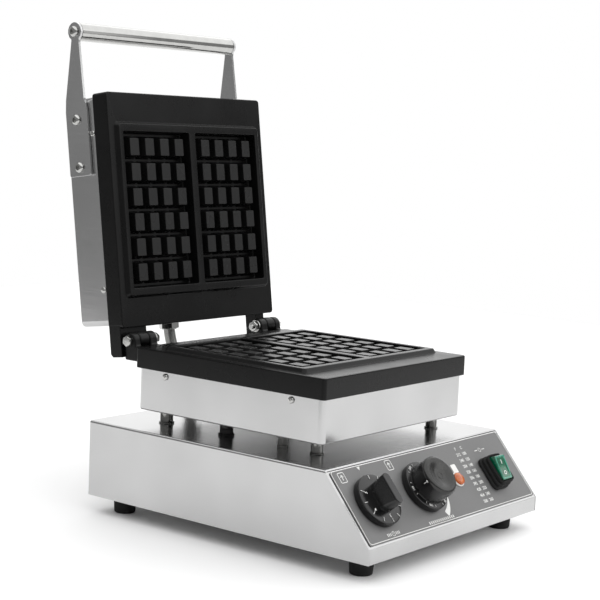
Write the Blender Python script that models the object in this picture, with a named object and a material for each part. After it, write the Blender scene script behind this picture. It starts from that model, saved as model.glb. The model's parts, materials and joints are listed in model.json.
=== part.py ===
"""Commercial waffle maker with a two-waffle rectangular grid, modelled with its lid open.

Metres, +Z up, the operator's side towards -Y. The origin is on the table, under the middle
of the whole machine. Pieces of the lid are drawn closed, about the hinge axis, and hang
on an empty that opens them.
"""
import math

import bmesh
import bpy
from mathutils import Matrix, Vector

# ---------------------------------------------------------------- clearances and sheet
GAP = 0.0003                  # between pieces that touch
SHEET = 0.0012                # folded stainless sheet
ROUND_SIDES = 20              # sides of a round piece
KNOB_SIDES = 28
SMALL_SIDES = 10              # sides of a screw or a pin

# ---------------------------------------------------------------- base box
BASE_SIDE = 0.0255            # base beyond the plates on each side
BASE_REAR = 0.0345            # base behind the plates
BASE_HEIGHT = 0.0749          # from the underside of the box to its top
FOOT_HEIGHT = 0.0171
FOOT_TOP_RADIUS = 0.0120
FOOT_BOTTOM_RADIUS = 0.0106
FOOT_INSET = 0.0258           # foot centre from the sides of the box
FOOT_STUD = 0.0026            # stud above the top of a foot
LIP_HEIGHT = 0.0142           # upright strip under the control panel
SLOPE_RUN = 0.0516            # depth that the sloping panel takes
BEND_RADIUS = 0.0022
FLANGE = 0.012

# ---------------------------------------------------------------- cooking unit
STANDOFF_HEIGHT = 0.0137      # free height between the base and the lower housing
PLATE_WIDTH = 0.234
PLATE_DEPTH = 0.234
PLATE_THICKNESS = 0.020
PLATE_CORNER = 0.005
PLATE_SETBACK = 0.0745        # front edge of the plates behind the front of the base
HOUSING_HEIGHT = 0.0413
HOUSING_INSET = 0.0025        # housing wall in from the edge of its plate
HOUSING_CORNER = 0.006
RIM_HEIGHT = 0.0040
RIM_MARGIN_X = 0.0107         # rim in from the side edges of its plate
RIM_MARGIN_Y = 0.0317         # rim in from the front and rear edges
RIM_WALL_X = 0.0053
RIM_WALL_Y = 0.0070
CENTRE_RIB = 0.0092
MOULD_DEPTH = 0.0130          # mould floor below the top of the rim
TEETH_ACROSS = 4
TEETH_ALONG = 6
TOOTH_HEIGHT = 0.0122
TOOTH_GROOVE = 0.0024         # flat floor between two teeth
TOOTH_SLOPE = 0.0040          # how far each side of a tooth leans in
MOULD_MARGIN = 0.0030         # extra floor along the wall of a mould

# ---------------------------------------------------------------- hinge
PLATE_TO_AXIS = 0.0125        # rear edge of the plates to the hinge axis
CLOSED_GAP = 0.0004           # between the two rims when the lid is shut
OPEN_ANGLE = math.radians(98.0)
KNUCKLE_RADIUS = 0.0080
HINGE_INSET = 0.0035          # outer knuckles in from the sides of the plates
OUTER_KNUCKLE = 0.0084
MIDDLE_KNUCKLE = 0.0130
INNER_KNUCKLE = 0.0106
EAR_DROP = 0.0195             # how far the ears reach below the hinge axis
LUG_REACH = 0.0160            # how far the lid's lugs pass the hinge axis
HINGE_PIN_RADIUS = 0.0030
HEX_RADIUS = 0.0056
HEX_HEIGHT = 0.0042

# ---------------------------------------------------------------- handle
ARM_THICKNESS = 0.0030
ARM_NECK = 0.0106
ARM_END_RADIUS = 0.0093
ARM_FOOT_BACK = 0.0775        # foot of an arm behind the front of the lid
ARM_SHOULDER_BACK = 0.0120
ARM_NECK_AHEAD = 0.0550
ARM_SCREWS_BACK = (0.0686, 0.0210)
ARM_SCREW_GAP = 0.0002        # between an arm and the heads of the housing screws
ARM_EDGE_MARGIN = 0.0032      # arm in from the outer face of the lid's housing
TUBE_AHEAD = 0.0662           # handle tube ahead of the front of the lid
TUBE_BELOW_MID = 0.0034
TUBE_RADIUS = 0.0092
TUBE_WALL = 0.0012

# ---------------------------------------------------------------- control panel
LABEL_THICKNESS = 0.0005
LABEL_MARGIN_X = 0.0022
LABEL_MARGIN_S = 0.0022
TIMER_IN = 0.0400             # timer knob in from the left side of the base
TIMER_TO_THERMO = 0.0745
THERMO_TO_LAMP = 0.0610
SWITCH_IN = 0.0512            # switch in from the right side of the base
TIMER_SHARE = 0.488           # share of the slope below each control
THERMO_SHARE = 0.496
LAMP_SHARE = 0.484
SWITCH_SHARE = 0.433
SHAFT_RADIUS = 0.0030
SHAFT_REACH = 0.0170          # shaft end above the panel sheet
KNOB_RADIUS = 0.0250
KNOB_CLEARANCE = 0.0015       # knob skirt above the panel sheet
SKIRT_HEIGHT = 0.0075
TIMER_KNOB_HEIGHT = 0.0265
THERMO_CAP_RADIUS = 0.0200
THERMO_KNOB_HEIGHT = 0.0285
THERMO_EDGE = 0.0035          # rounding of the cap
LAMP_RADIUS = 0.0065
BEZEL_WIDTH, BEZEL_LENGTH, BEZEL_HEIGHT = 0.0270, 0.0350, 0.0140
ROCKER_WIDTH, ROCKER_LENGTH = 0.0185, 0.0262
ROCKER_TILT = math.radians(11.0)

# ---------------------------------------------------------------- screws and conduits
FRONT_PILLAR_RADIUS = 0.0056
REAR_PILLAR_RADIUS = 0.0064
PILLAR_INSET = 0.0205         # pillar centre in from the housing wall
PILLAR_STUD_RADIUS = 0.0025
PAN_RADIUS = 0.0032
PAN_HEIGHT = 0.0018
PAN_SHANK = 0.0016
BUTTON_RADIUS = 0.0054
BUTTON_HEIGHT = 0.0032
BUTTON_SHANK = 0.0028
HOUSING_SCREW_DROP = 0.0048   # screw centre from the plate, along the housing wall
BOSS_SIZE = 0.0100
HOSE_RADIUS = 0.0063
HOSE_NUT_RADIUS = 0.0107
HOSE_NUT_HEIGHT = 0.0105
HOSE_IN = 0.0130              # hose in from the back of the base
HOSE_LEFT = 0.0080            # hose left of the middle
HOSE_BASE_PULL = 0.0320       # how far the hose keeps straight on from its base gland
HOSE_LID_PULL = 0.0470        # and from its lid gland
WIRING_BACK = 0.0157          # wiring gland behind the middle of the plates
SENSOR_AHEAD = 0.0535         # sensor sleeve ahead of the middle of the plates
CABLE_GLAND_RADIUS = 0.0066
CABLE_GLAND_LIFT = 0.0340     # mains gland above the underside of the base
HEATER_RADIUS = 0.0040
HEATER_RUNS = 4
SENSOR_BULB_RADIUS = 0.0029

# ---------------------------------------------------------------- places worked out
BASE_WIDTH = PLATE_WIDTH + 2 * BASE_SIDE
BASE_DEPTH = PLATE_SETBACK + PLATE_DEPTH + BASE_REAR
BASE_BOTTOM = FOOT_HEIGHT
BASE_TOP = BASE_BOTTOM + BASE_HEIGHT
HOUSING_BOTTOM = BASE_TOP + STANDOFF_HEIGHT
PLATE_TOP = HOUSING_BOTTOM + HOUSING_HEIGHT + PLATE_THICKNESS
FACE_LIFT = RIM_HEIGHT + CLOSED_GAP / 2          # plate face to the hinge axis
AXIS_Z = PLATE_TOP + FACE_LIFT
AXIS_SETBACK = PLATE_SETBACK + PLATE_DEPTH + PLATE_TO_AXIS
PLATE_OUTER = FACE_LIFT + PLATE_THICKNESS        # plate back to the hinge axis
LID_OUTER = PLATE_OUTER + HOUSING_HEIGHT
LID_MID = PLATE_OUTER + HOUSING_HEIGHT / 2
LID_FRONT = PLATE_TO_AXIS + PLATE_DEPTH - HOUSING_INSET
SLOPE_RISE = BASE_HEIGHT - LIP_HEIGHT
SLOPE_ANGLE = math.atan2(SLOPE_RISE, SLOPE_RUN)
SLOPE_LENGTH = math.hypot(SLOPE_RUN, SLOPE_RISE)
TIMER_X = -BASE_WIDTH / 2 + TIMER_IN
THERMO_X = TIMER_X + TIMER_TO_THERMO
LAMP_X = THERMO_X + THERMO_TO_LAMP
SWITCH_X = BASE_WIDTH / 2 - SWITCH_IN
TIMER_S = SLOPE_LENGTH * TIMER_SHARE
THERMO_S = SLOPE_LENGTH * THERMO_SHARE
LAMP_S = SLOPE_LENGTH * LAMP_SHARE
SWITCH_S = SLOPE_LENGTH * SWITCH_SHARE
LEAN = OPEN_ANGLE - math.pi / 2
REAR_REACH = AXIS_SETBACK + LID_FRONT * math.sin(LEAN) + LID_OUTER * math.cos(LEAN)
KNOB_OVERHANG = ((THERMO_KNOB_HEIGHT - THERMO_EDGE) * math.sin(SLOPE_ANGLE) + THERMO_EDGE
                 - (THERMO_S - THERMO_CAP_RADIUS + THERMO_EDGE) * math.cos(SLOPE_ANGLE))
FRONT_Y = (KNOB_OVERHANG - REAR_REACH) / 2       # front of the base, machine centred on Y
REAR_Y = FRONT_Y + BASE_DEPTH
AXIS_Y = FRONT_Y + AXIS_SETBACK
PLATE_MID = -(PLATE_TO_AXIS + PLATE_DEPTH / 2)   # plate centre from the hinge axis
PLATE_MID_Y = AXIS_Y + PLATE_MID
HOUSING_WIDTH = PLATE_WIDTH - 2 * HOUSING_INSET
HOUSING_DEPTH = PLATE_DEPTH - 2 * HOUSING_INSET
RIM_WIDTH = PLATE_WIDTH - 2 * RIM_MARGIN_X
RIM_DEPTH = PLATE_DEPTH - 2 * RIM_MARGIN_Y
MOULD_WIDTH = (RIM_WIDTH - 2 * RIM_WALL_X - CENTRE_RIB) / 2
MOULD_LENGTH = RIM_DEPTH - 2 * RIM_WALL_Y
HINGE_OUTER = PLATE_WIDTH / 2 - HINGE_INSET
MIDDLE_OUTER = HINGE_OUTER - OUTER_KNUCKLE
MIDDLE_INNER = MIDDLE_OUTER - MIDDLE_KNUCKLE
HINGE_INNER = MIDDLE_INNER - INNER_KNUCKLE
HOUSING_SCREW_SPREAD = PLATE_DEPTH / 3
ARM_LOW = HOUSING_SCREW_DROP + PAN_RADIUS + ARM_SCREW_GAP    # above the back of the plate
ARM_WIDTH = HOUSING_HEIGHT - ARM_LOW - ARM_EDGE_MARGIN
ARM_LIFT = PLATE_OUTER + ARM_LOW + ARM_WIDTH / 2
ARM_SCREW_REACHES = [LID_FRONT - back for back in ARM_SCREWS_BACK]
TUBE_REACH = LID_FRONT + TUBE_AHEAD
TUBE_LIFT = LID_MID - TUBE_BELOW_MID
HOSE_BASE_Y = REAR_Y - HOSE_IN
AXIS_FRAME = Matrix.Translation((0, AXIS_Y, AXIS_Z))
LID_FRAME = AXIS_FRAME @ Matrix.Rotation(-OPEN_ANGLE, 4, "X")


# ================================================================ drawing tools
def clear_scene():
    for item in list(bpy.data.objects):
        bpy.data.objects.remove(item)


def finish(name, color, roughness, metallic):
    """A plain shaded finish for one kind of surface."""
    mat = bpy.data.materials.new(name)
    mat.use_nodes = True
    shader = mat.node_tree.nodes["Principled BSDF"]
    shader.inputs["Base Color"].default_value = (*color, 1)
    shader.inputs["Roughness"].default_value = roughness
    shader.inputs["Metallic"].default_value = metallic
    return mat


def new_object(name, bm, mat=None, frame=None):
    """Turn a bmesh into an object whose normals point out."""
    bmesh.ops.recalc_face_normals(bm, faces=bm.faces)
    mesh = bpy.data.meshes.new(name)
    bm.to_mesh(mesh)
    bm.free()
    item = bpy.data.objects.new(name, mesh)
    bpy.context.scene.collection.objects.link(item)
    if mat:
        mesh.materials.append(mat)
    if frame:
        item.matrix_world = frame
    return item


def smooth(item, angle=35):
    item.data.shade_smooth()
    item.data.set_sharp_from_angle(angle=math.radians(angle))
    return item


def prism(outline, low, high, axis="Z"):
    """Extrude a flat outline between two heights along X, Y or Z."""
    order = {"X": (2, 0, 1), "Y": (0, 2, 1), "Z": (0, 1, 2)}[axis]
    bm = bmesh.new()
    rings = []
    for height in (low, high):
        ring = []
        for u, v in outline:
            flat = (u, v, height)
            ring.append(bm.verts.new(Vector([flat[k] for k in order])))
        rings.append(ring)
    bm.faces.new(rings[0])
    bm.faces.new(rings[1])
    for k in range(len(outline)):
        n = (k + 1) % len(outline)
        bm.faces.new((rings[0][k], rings[0][n], rings[1][n], rings[1][k]))
    return bm


def turned(profile, sides=ROUND_SIDES, phase=0.0):
    """Turn a closed (radius, height) profile about Z; radius 0 makes a pole."""
    bm = bmesh.new()
    rings = []
    for radius, height in profile:
        if radius < 1e-7:
            rings.append([bm.verts.new((0, 0, height))] * sides)
            continue
        ring = []
        for k in range(sides):
            a = phase + 2 * math.pi * k / sides
            ring.append(bm.verts.new((radius * math.cos(a), radius * math.sin(a), height)))
        rings.append(ring)
    for i in range(len(rings)):
        a, b = rings[i], rings[(i + 1) % len(rings)]
        for k in range(sides):
            n = (k + 1) % sides
            corners = []
            for vert in (a[k], a[n], b[n], b[k]):
                if vert not in corners:
                    corners.append(vert)
            if len(corners) > 2:
                bm.faces.new(corners)
    return bm


def box(low, high):
    """A block between two corners."""
    outline = [(low[0], low[1]), (high[0], low[1]), (high[0], high[1]), (low[0], high[1])]
    return prism(outline, low[2], high[2])


def rounded(width, depth, radius, steps=4, centre=(0.0, 0.0)):
    """Outline of a rectangle with round corners."""
    points = []
    for k, (sx, sy) in enumerate(((1, 1), (-1, 1), (-1, -1), (1, -1))):
        cx = centre[0] + sx * (width / 2 - radius)
        cy = centre[1] + sy * (depth / 2 - radius)
        for j in range(steps + 1):
            a = math.pi / 2 * (k + j / steps)
            points.append((cx + radius * math.cos(a), cy + radius * math.sin(a)))
    return points


def arc(centre, radius, start, end, steps):
    """Points along an arc, angles in degrees."""
    points = []
    for k in range(steps + 1):
        a = math.radians(start + (end - start) * k / steps)
        points.append((centre[0] + radius * math.cos(a), centre[1] + radius * math.sin(a)))
    return points


def guide(item):
    item.hide_render = True
    item.display_type = "WIRE"
    return item


def boolean(target, bm, operation="DIFFERENCE", frame=None):
    """Cut or join a shape on a piece, drawn in the frame of that piece."""
    place = target.matrix_world @ frame if frame else target.matrix_world
    name = target.name + "." + operation.lower()
    tool = guide(new_object(name, bm, frame=place))
    hang(tool, target)
    step = target.modifiers.new(operation.lower(), "BOOLEAN")
    step.operation = operation
    step.solver = "EXACT"
    step.object = tool
    return target


def along(axis, place=(0, 0, 0)):
    """Frame whose own Z points along a world axis such as +X."""
    turn = {
        "+X": Matrix.Rotation(math.pi / 2, 4, "Y"), "-X": Matrix.Rotation(-math.pi / 2, 4, "Y"),
        "+Y": Matrix.Rotation(-math.pi / 2, 4, "X"), "-Y": Matrix.Rotation(math.pi / 2, 4, "X"),
        "+Z": Matrix.Identity(4), "-Z": Matrix.Rotation(math.pi, 4, "X"),
    }[axis]
    return Matrix.Translation(place) @ turn


def rod(radius, low, high, sides=SMALL_SIDES):
    return turned([(0, low), (radius, low), (radius, high), (0, high)], sides, math.pi / sides)


def hang(item, parent):
    """Parent a piece without moving it."""
    item.parent = parent
    item.matrix_parent_inverse = parent.matrix_world.inverted()


def pivot(name, frame):
    """An empty on a joint axis."""
    empty = bpy.data.objects.new(name, None)
    empty.empty_display_size = 0.02
    bpy.context.scene.collection.objects.link(empty)
    empty.matrix_world = frame
    return empty


def bar(name, points, radius, mat, frame, sides=2):
    """A round bar or hose along a list of points."""
    data = bpy.data.curves.new(name, "CURVE")
    data.dimensions = "3D"
    data.bevel_depth = radius
    data.bevel_resolution = sides
    data.use_fill_caps = True
    spline = data.splines.new("POLY")
    spline.points.add(len(points) - 1)
    for k, point in enumerate(points):
        spline.points[k].co = (*point, 1)
    data.materials.append(mat)
    item = bpy.data.objects.new(name, data)
    bpy.context.scene.collection.objects.link(item)
    item.matrix_world = frame
    return item


def panel_frame(x, s, lift=0.0):
    """Frame on the sloping panel: own X along the panel, own Y up it, own Z out of it."""
    y = FRONT_Y + s * math.cos(SLOPE_ANGLE)
    z = BASE_BOTTOM + LIP_HEIGHT + s * math.sin(SLOPE_ANGLE)
    frame = Matrix.Translation((x, y, z)) @ Matrix.Rotation(SLOPE_ANGLE, 4, "X")
    return frame @ Matrix.Translation((0, 0, lift))


# ================================================================ base box
def pillar_places():
    """Centre of each pillar and its radius, by name."""
    half_x = HOUSING_WIDTH / 2 - PILLAR_INSET
    half_y = HOUSING_DEPTH / 2 - PILLAR_INSET
    places = {}
    for side, x in (("left", -half_x), ("right", half_x)):
        places["front_" + side] = (x, PLATE_MID_Y - half_y, FRONT_PILLAR_RADIUS)
        places["rear_" + side] = (x, PLATE_MID_Y + half_y, REAR_PILLAR_RADIUS)
    return places


def conduit_places():
    """Centre, bore of the sheet holes and name of the two wire passages."""
    x = -(HOUSING_WIDTH / 2 - PILLAR_INSET)
    return {
        "wiring_conduit": (x, PLATE_MID_Y + WIRING_BACK, CABLE_GLAND_RADIUS - 0.0016),
        "sensor_conduit": (x, PLATE_MID_Y - SENSOR_AHEAD, 0.0028),
    }


def make_body_shell(mats):
    """Top and both sides of the base, one sheet folded over twice."""
    half, low, high = BASE_WIDTH / 2, BASE_BOTTOM, BASE_TOP
    outer = [(half, low)] + arc((half - BEND_RADIUS, high - BEND_RADIUS), BEND_RADIUS, 0, 90, 4)
    inner_radius = BEND_RADIUS - SHEET
    inner = arc((half - BEND_RADIUS, high - BEND_RADIUS), inner_radius, 90, 0, 3)
    inner += [(half - SHEET, low)]
    section = outer + [(-x, z) for x, z in reversed(outer)]
    section += [(-x, z) for x, z in reversed(inner)] + inner
    shell = new_object("body_shell", prism(section, FRONT_Y, REAR_Y, "Y"), mats["steel"])
    reach = 0.02
    beyond = SLOPE_RUN * (1 + reach / SLOPE_RISE)
    slope = [(FRONT_Y - reach, low + LIP_HEIGHT), (FRONT_Y, low + LIP_HEIGHT),
             (FRONT_Y + beyond, high + reach), (FRONT_Y - reach, high + reach)]
    boolean(shell, prism(slope, -half - reach, half + reach, "X"))
    for x, y, _ in pillar_places().values():
        frame = Matrix.Translation((x, y, high - SHEET / 2))
        boolean(shell, rod(PILLAR_STUD_RADIUS + GAP, -SHEET, SHEET), frame=frame)
    for x, y, bore in conduit_places().values():
        frame = Matrix.Translation((x, y, high - SHEET / 2))
        boolean(shell, rod(bore + GAP, -SHEET, SHEET), frame=frame)
    frame = Matrix.Translation((-HOSE_LEFT, HOSE_BASE_Y, high - SHEET / 2))
    boolean(shell, rod(HOSE_RADIUS + GAP, -SHEET, SHEET), frame=frame)
    return smooth(shell, 25)


def make_control_panel(mats):
    """Upright lip and sloping panel in one folded sheet, between the sides."""
    half = BASE_WIDTH / 2 - SHEET - GAP
    low = BASE_BOTTOM
    nx, nz = -math.sin(SLOPE_ANGLE), math.cos(SLOPE_ANGLE)
    trim = SHEET / math.sin(SLOPE_ANGLE) + GAP * 2
    top_s = SLOPE_LENGTH - trim
    top_y = FRONT_Y + top_s * math.cos(SLOPE_ANGLE)
    top_z = low + LIP_HEIGHT + top_s * math.sin(SLOPE_ANGLE)
    fold = SHEET * math.tan(SLOPE_ANGLE / 2 - math.pi / 4)
    section = [
        (FRONT_Y + FLANGE, low), (FRONT_Y, low), (FRONT_Y, low + LIP_HEIGHT), (top_y, top_z),
        (top_y - nx * SHEET, top_z - nz * SHEET), (FRONT_Y + SHEET, low + LIP_HEIGHT + fold),
        (FRONT_Y + SHEET, low + SHEET), (FRONT_Y + FLANGE, low + SHEET),
    ]
    panel = new_object("control_panel", prism(section, -half, half, "X"), mats["steel"])
    for cutter, x, s in panel_holes():
        boolean(panel, cutter(0.004), frame=panel_frame(x, s))
    return panel


def panel_holes():
    """Cutter and place of each hole that the panel and its label share."""
    def shaft_hole(depth):
        return rod(SHAFT_RADIUS * 1.5, -depth, depth)

    def lamp_hole(depth):
        return rod(LAMP_RADIUS - 0.0012, -depth, depth, ROUND_SIDES)

    def switch_hole(depth):
        hole = rounded(ROCKER_WIDTH + 0.0040, ROCKER_LENGTH + 0.0040, 0.001, 1)
        return prism(hole, -depth, depth)

    return [(shaft_hole, TIMER_X, TIMER_S), (shaft_hole, THERMO_X, THERMO_S),
            (lamp_hole, LAMP_X, LAMP_S), (switch_hole, SWITCH_X, SWITCH_S)]


def make_panel_label(mats):
    """Printed label on the slope."""
    width = BASE_WIDTH - 2 * (SHEET + LABEL_MARGIN_X)
    length = SLOPE_LENGTH - 2 * LABEL_MARGIN_S - SHEET
    outline = rounded(width, length, 0.002, 3)
    frame = panel_frame(0, LABEL_MARGIN_S + length / 2, GAP)
    label = new_object("panel_label", prism(outline, 0, LABEL_THICKNESS), mats["label"], frame)
    for cutter, x, s in panel_holes():
        hole_frame = frame.inverted() @ panel_frame(x, s)
        boolean(label, cutter(0.004), frame=hole_frame)
    return label


def mains_gland_frame():
    return along("+Y", (SWITCH_X, REAR_Y, BASE_BOTTOM + CABLE_GLAND_LIFT))


def make_rear_panel(mats):
    """Back of the base, with slots for cooling air."""
    half = BASE_WIDTH / 2 - SHEET - GAP
    bm = box((-half, REAR_Y - SHEET, BASE_BOTTOM), (half, REAR_Y, BASE_TOP - SHEET - GAP))
    panel = new_object("rear_panel", bm, mats["steel"])
    for k in range(6):
        x = -0.085 + 0.014 * k
        slot = rounded(0.004, 0.028, 0.0015, 1, (x, BASE_BOTTOM + 0.040))
        boolean(panel, prism(slot, REAR_Y - 0.01, REAR_Y + 0.01, "Y"))
    boolean(panel, rod(CABLE_GLAND_RADIUS + GAP, -0.01, 0.01, ROUND_SIDES),
            frame=mains_gland_frame())
    return panel


def foot_places():
    x = BASE_WIDTH / 2 - FOOT_INSET
    return {"front_left": (-x, FRONT_Y + FOOT_INSET), "front_right": (x, FRONT_Y + FOOT_INSET),
            "rear_left": (-x, REAR_Y - FOOT_INSET), "rear_right": (x, REAR_Y - FOOT_INSET)}


def make_bottom_cover(mats):
    """Removable floor of the base."""
    half = BASE_WIDTH / 2 - SHEET - GAP
    low = (-half, FRONT_Y + FLANGE + GAP, BASE_BOTTOM)
    high = (half, REAR_Y - SHEET - GAP, BASE_BOTTOM + SHEET)
    cover = new_object("bottom_cover", box(low, high), mats["steel"])
    for x, y in foot_places().values():
        frame = Matrix.Translation((x, y, BASE_BOTTOM))
        boolean(cover, rod(0.0022 + GAP, -0.004, 0.004), frame=frame)
    for k in range(7):
        slot = rounded(0.060, 0.004, 0.0015, 1, (0, PLATE_MID_Y - 0.036 + 0.012 * k))
        boolean(cover, prism(slot, BASE_BOTTOM - 0.004, BASE_BOTTOM + 0.004))
    return cover


def make_feet(mats):
    """Four tapered rubber feet, each with its stud moulded in."""
    stud = 0.0022
    top = FOOT_HEIGHT - GAP
    profile = [(0, 0), (FOOT_BOTTOM_RADIUS - 0.001, 0), (FOOT_BOTTOM_RADIUS, 0.001),
               (FOOT_TOP_RADIUS, top), (stud, top), (stud, FOOT_HEIGHT + FOOT_STUD),
               (0, FOOT_HEIGHT + FOOT_STUD)]
    for name, (x, y) in foot_places().items():
        frame = Matrix.Translation((x, y, 0))
        smooth(new_object("foot_" + name, turned(profile), mats["rubber"], frame))


def make_pillars(mats):
    """Stainless pillars that carry the cooking unit, studs at both ends."""
    for name, (x, y, radius) in pillar_places().items():
        low, high = GAP, STANDOFF_HEIGHT - GAP
        stud = PILLAR_STUD_RADIUS
        profile = [(0, -0.009), (stud, -0.009), (stud, low), (radius + 0.0013, low),
                   (radius + 0.0013, low + 0.0012), (radius, low + 0.0020), (radius, high),
                   (stud, high), (stud, STANDOFF_HEIGHT + 0.007), (0, STANDOFF_HEIGHT + 0.007)]
        frame = Matrix.Translation((x, y, BASE_TOP))
        bm = turned(profile, SMALL_SIDES + 2)
        smooth(new_object("pillar_" + name, bm, mats["steel"], frame))


def make_conduits(mats):
    """Black gland for the heater wires and a steel sleeve for the sensor tube."""
    radii = {"wiring_conduit": (CABLE_GLAND_RADIUS, 0.0015, mats["black"]),
             "sensor_conduit": (0.0042, 0.0010, mats["dark_steel"])}
    for name, (x, y, neck) in conduit_places().items():
        outer, collar, mat = radii[name]
        low, high, bore = GAP, STANDOFF_HEIGHT - GAP, neck - 0.0012
        profile = [(bore, -0.008), (neck, -0.008), (neck, low), (outer + collar, low),
                   (outer + collar, low + 0.0022), (outer, low + 0.0022), (outer, high),
                   (neck, high), (neck, STANDOFF_HEIGHT + 0.006),
                   (bore, STANDOFF_HEIGHT + 0.006)]
        frame = Matrix.Translation((x, y, BASE_TOP))
        smooth(new_object(name, turned(profile, SMALL_SIDES + 4), mat, frame))


def make_mains_gland(mats):
    """Cable gland in the back of the base; its lead is not part of the model."""
    outer, flange = CABLE_GLAND_RADIUS, 0.0100
    bore = 0.0038
    profile = [(bore, -0.012), (outer, -0.012), (outer, GAP), (flange, GAP), (flange, 0.004),
               (outer + 0.001, 0.005), (outer, 0.012), (bore, 0.012)]
    frame = mains_gland_frame()
    smooth(new_object("mains_gland", turned(profile), mats["black"], frame))


def make_terminal_block(mats):
    """Ceramic terminal block on the floor of the base."""
    z = BASE_BOTTOM + SHEET + GAP
    y = REAR_Y - 0.070
    block = new_object("terminal_block", box((0.045, y, z), (0.105, y + 0.022, z + 0.018)),
                       mats["ceramic"])
    for k in range(5):
        x = 0.051 + 0.012 * k
        boolean(block, box((x - 0.004, y - 0.001, z + 0.008), (x + 0.004, y + 0.008, z + 0.020)))
    return block


# ================================================================ controls
def make_shaft(name, x, s, mats):
    frame = panel_frame(x, s)
    item = new_object(name, rod(SHAFT_RADIUS, -0.006, SHAFT_REACH, 20), mats["dark_steel"], frame)
    return smooth(item)


def make_timer(mats):
    """Clockwork timer behind the panel."""
    back = -SHEET - GAP
    frame = panel_frame(TIMER_X, TIMER_S)
    timer = new_object("timer", prism(rounded(0.044, 0.044, 0.004), back - 0.026, back),
                       mats["dark_steel"], frame)
    boolean(timer, rod(SHAFT_RADIUS + GAP, back - 0.0065, 0.01, 20))
    return timer


def make_thermostat(mats):
    """Capillary thermostat behind the panel."""
    back = -SHEET - GAP
    frame = panel_frame(THERMO_X, THERMO_S)
    profile = [(0, back - 0.024), (0.016, back - 0.024), (0.020, back - 0.020), (0.020, back),
               (0, back)]
    thermostat = new_object("thermostat", turned(profile), mats["dark_steel"], frame)
    boolean(thermostat, rod(SHAFT_RADIUS + GAP, back - 0.0065, 0.01, 20))
    return thermostat


def knob_underside(sides):
    """Hollow under a knob, with a blind socket for the shaft."""
    wall = 0.0022
    socket = SHAFT_REACH - KNOB_CLEARANCE + GAP
    return turned([(0, -0.002), (KNOB_RADIUS - wall, -0.002), (KNOB_RADIUS - wall, 0.005),
                   (0.0065, 0.005), (0.0065, 0.0), (SHAFT_RADIUS + GAP, 0.0),
                   (SHAFT_RADIUS + GAP, socket), (0, socket)], sides)


def make_timer_knob(mats):
    """Skirted knob with a raised bar grip."""
    frame = panel_frame(TIMER_X, TIMER_S, KNOB_CLEARANCE)
    lift = SKIRT_HEIGHT
    profile = [(0, 0), (KNOB_RADIUS, 0), (KNOB_RADIUS, lift - 0.0006),
               (KNOB_RADIUS - 0.0006, lift), (0, lift)]
    knob = new_object("timer_knob", turned(profile, KNOB_SIDES), mats["black"], frame)
    top = TIMER_KNOB_HEIGHT - KNOB_CLEARANCE
    grip = bmesh.new()
    rings = []
    for half_x, half_y, z in ((0.0085, 0.0155, lift - 0.002), (0.0040, 0.0165, top)):
        ring = []
        for sx, sy in ((1, 1), (-1, 1), (-1, -1), (1, -1)):
            ring.append(grip.verts.new((sx * half_x, sy * half_y, z)))
        rings.append(ring)
    grip.faces.new(rings[0])
    grip.faces.new(rings[1])
    for k in range(4):
        n = (k + 1) % 4
        grip.faces.new((rings[0][k], rings[0][n], rings[1][n], rings[1][k]))
    boolean(knob, grip, "UNION")
    boolean(knob, knob_underside(KNOB_SIDES))
    return smooth(knob)


def make_temperature_knob(mats):
    """Skirted knob with a tall round cap, dished on top."""
    frame = panel_frame(THERMO_X, THERMO_S, KNOB_CLEARANCE)
    cap, top = THERMO_CAP_RADIUS, THERMO_KNOB_HEIGHT - KNOB_CLEARANCE
    lift = SKIRT_HEIGHT
    edge = THERMO_EDGE
    profile = [(0, 0), (KNOB_RADIUS, 0), (KNOB_RADIUS, lift - 0.0006),
               (KNOB_RADIUS - 0.0006, lift), (cap, lift)]
    profile += arc((cap - edge, top - edge), edge, 0, 90, 4)
    profile += [(cap * 0.50, top - 0.0004), (cap * 0.42, top - 0.0022), (0, top - 0.0022)]
    knob = new_object("temperature_knob", turned(profile, KNOB_SIDES), mats["black"], frame)
    boolean(knob, knob_underside(KNOB_SIDES))
    return smooth(knob)


def make_indicator(mats):
    """Orange pilot lamp: body through the panel and a domed lens on it."""
    frame = panel_frame(LAMP_X, LAMP_S)
    base = GAP * 2 + LABEL_THICKNESS
    stem = LAMP_RADIUS - 0.0015
    body = [(0, -0.022), (stem, -0.022), (stem, base), (LAMP_RADIUS + 0.0010, base),
            (LAMP_RADIUS + 0.0010, base + 0.0012), (0, base + 0.0012)]
    smooth(new_object("indicator_body", turned(body, 20), mats["white"], frame))
    low = base + 0.0012 + GAP
    lens = [(0, low), (LAMP_RADIUS, low), (LAMP_RADIUS, low + 0.0014)]
    lens += [(LAMP_RADIUS * math.cos(a), low + 0.0014 + 0.0022 * math.sin(a))
             for a in (math.radians(30), math.radians(60))]
    lens += [(0, low + 0.0036)]
    smooth(new_object("indicator_lens", turned(lens, 20), mats["amber"], frame))


def make_switch_body(mats):
    """Splash-proof switch: stepped bezel on the panel, body behind it."""
    frame = panel_frame(SWITCH_X, SWITCH_S)
    base = GAP * 2 + LABEL_THICKNESS
    wide, long_ = ROCKER_WIDTH + 0.0034, ROCKER_LENGTH + 0.0034
    body = new_object("switch_body", prism(rounded(wide, long_, 0.0008, 1), -0.026, base + 0.001),
                      mats["black"], frame)
    steps = 3
    for k in range(steps):
        shrink = 0.0016 * k
        outline = rounded(BEZEL_WIDTH - shrink, BEZEL_LENGTH - shrink, 0.0050, 4)
        low = base + k * (BEZEL_HEIGHT - base) / steps
        high = base + (k + 1) * (BEZEL_HEIGHT - base) / steps
        boolean(body, prism(outline, low - (0.0002 if k else 0), high), "UNION")
    pocket = rounded(ROCKER_WIDTH + 0.0010, ROCKER_LENGTH + 0.0012, 0.0008, 1)
    boolean(body, prism(pocket, -0.006, 0.03))
    return body


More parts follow.
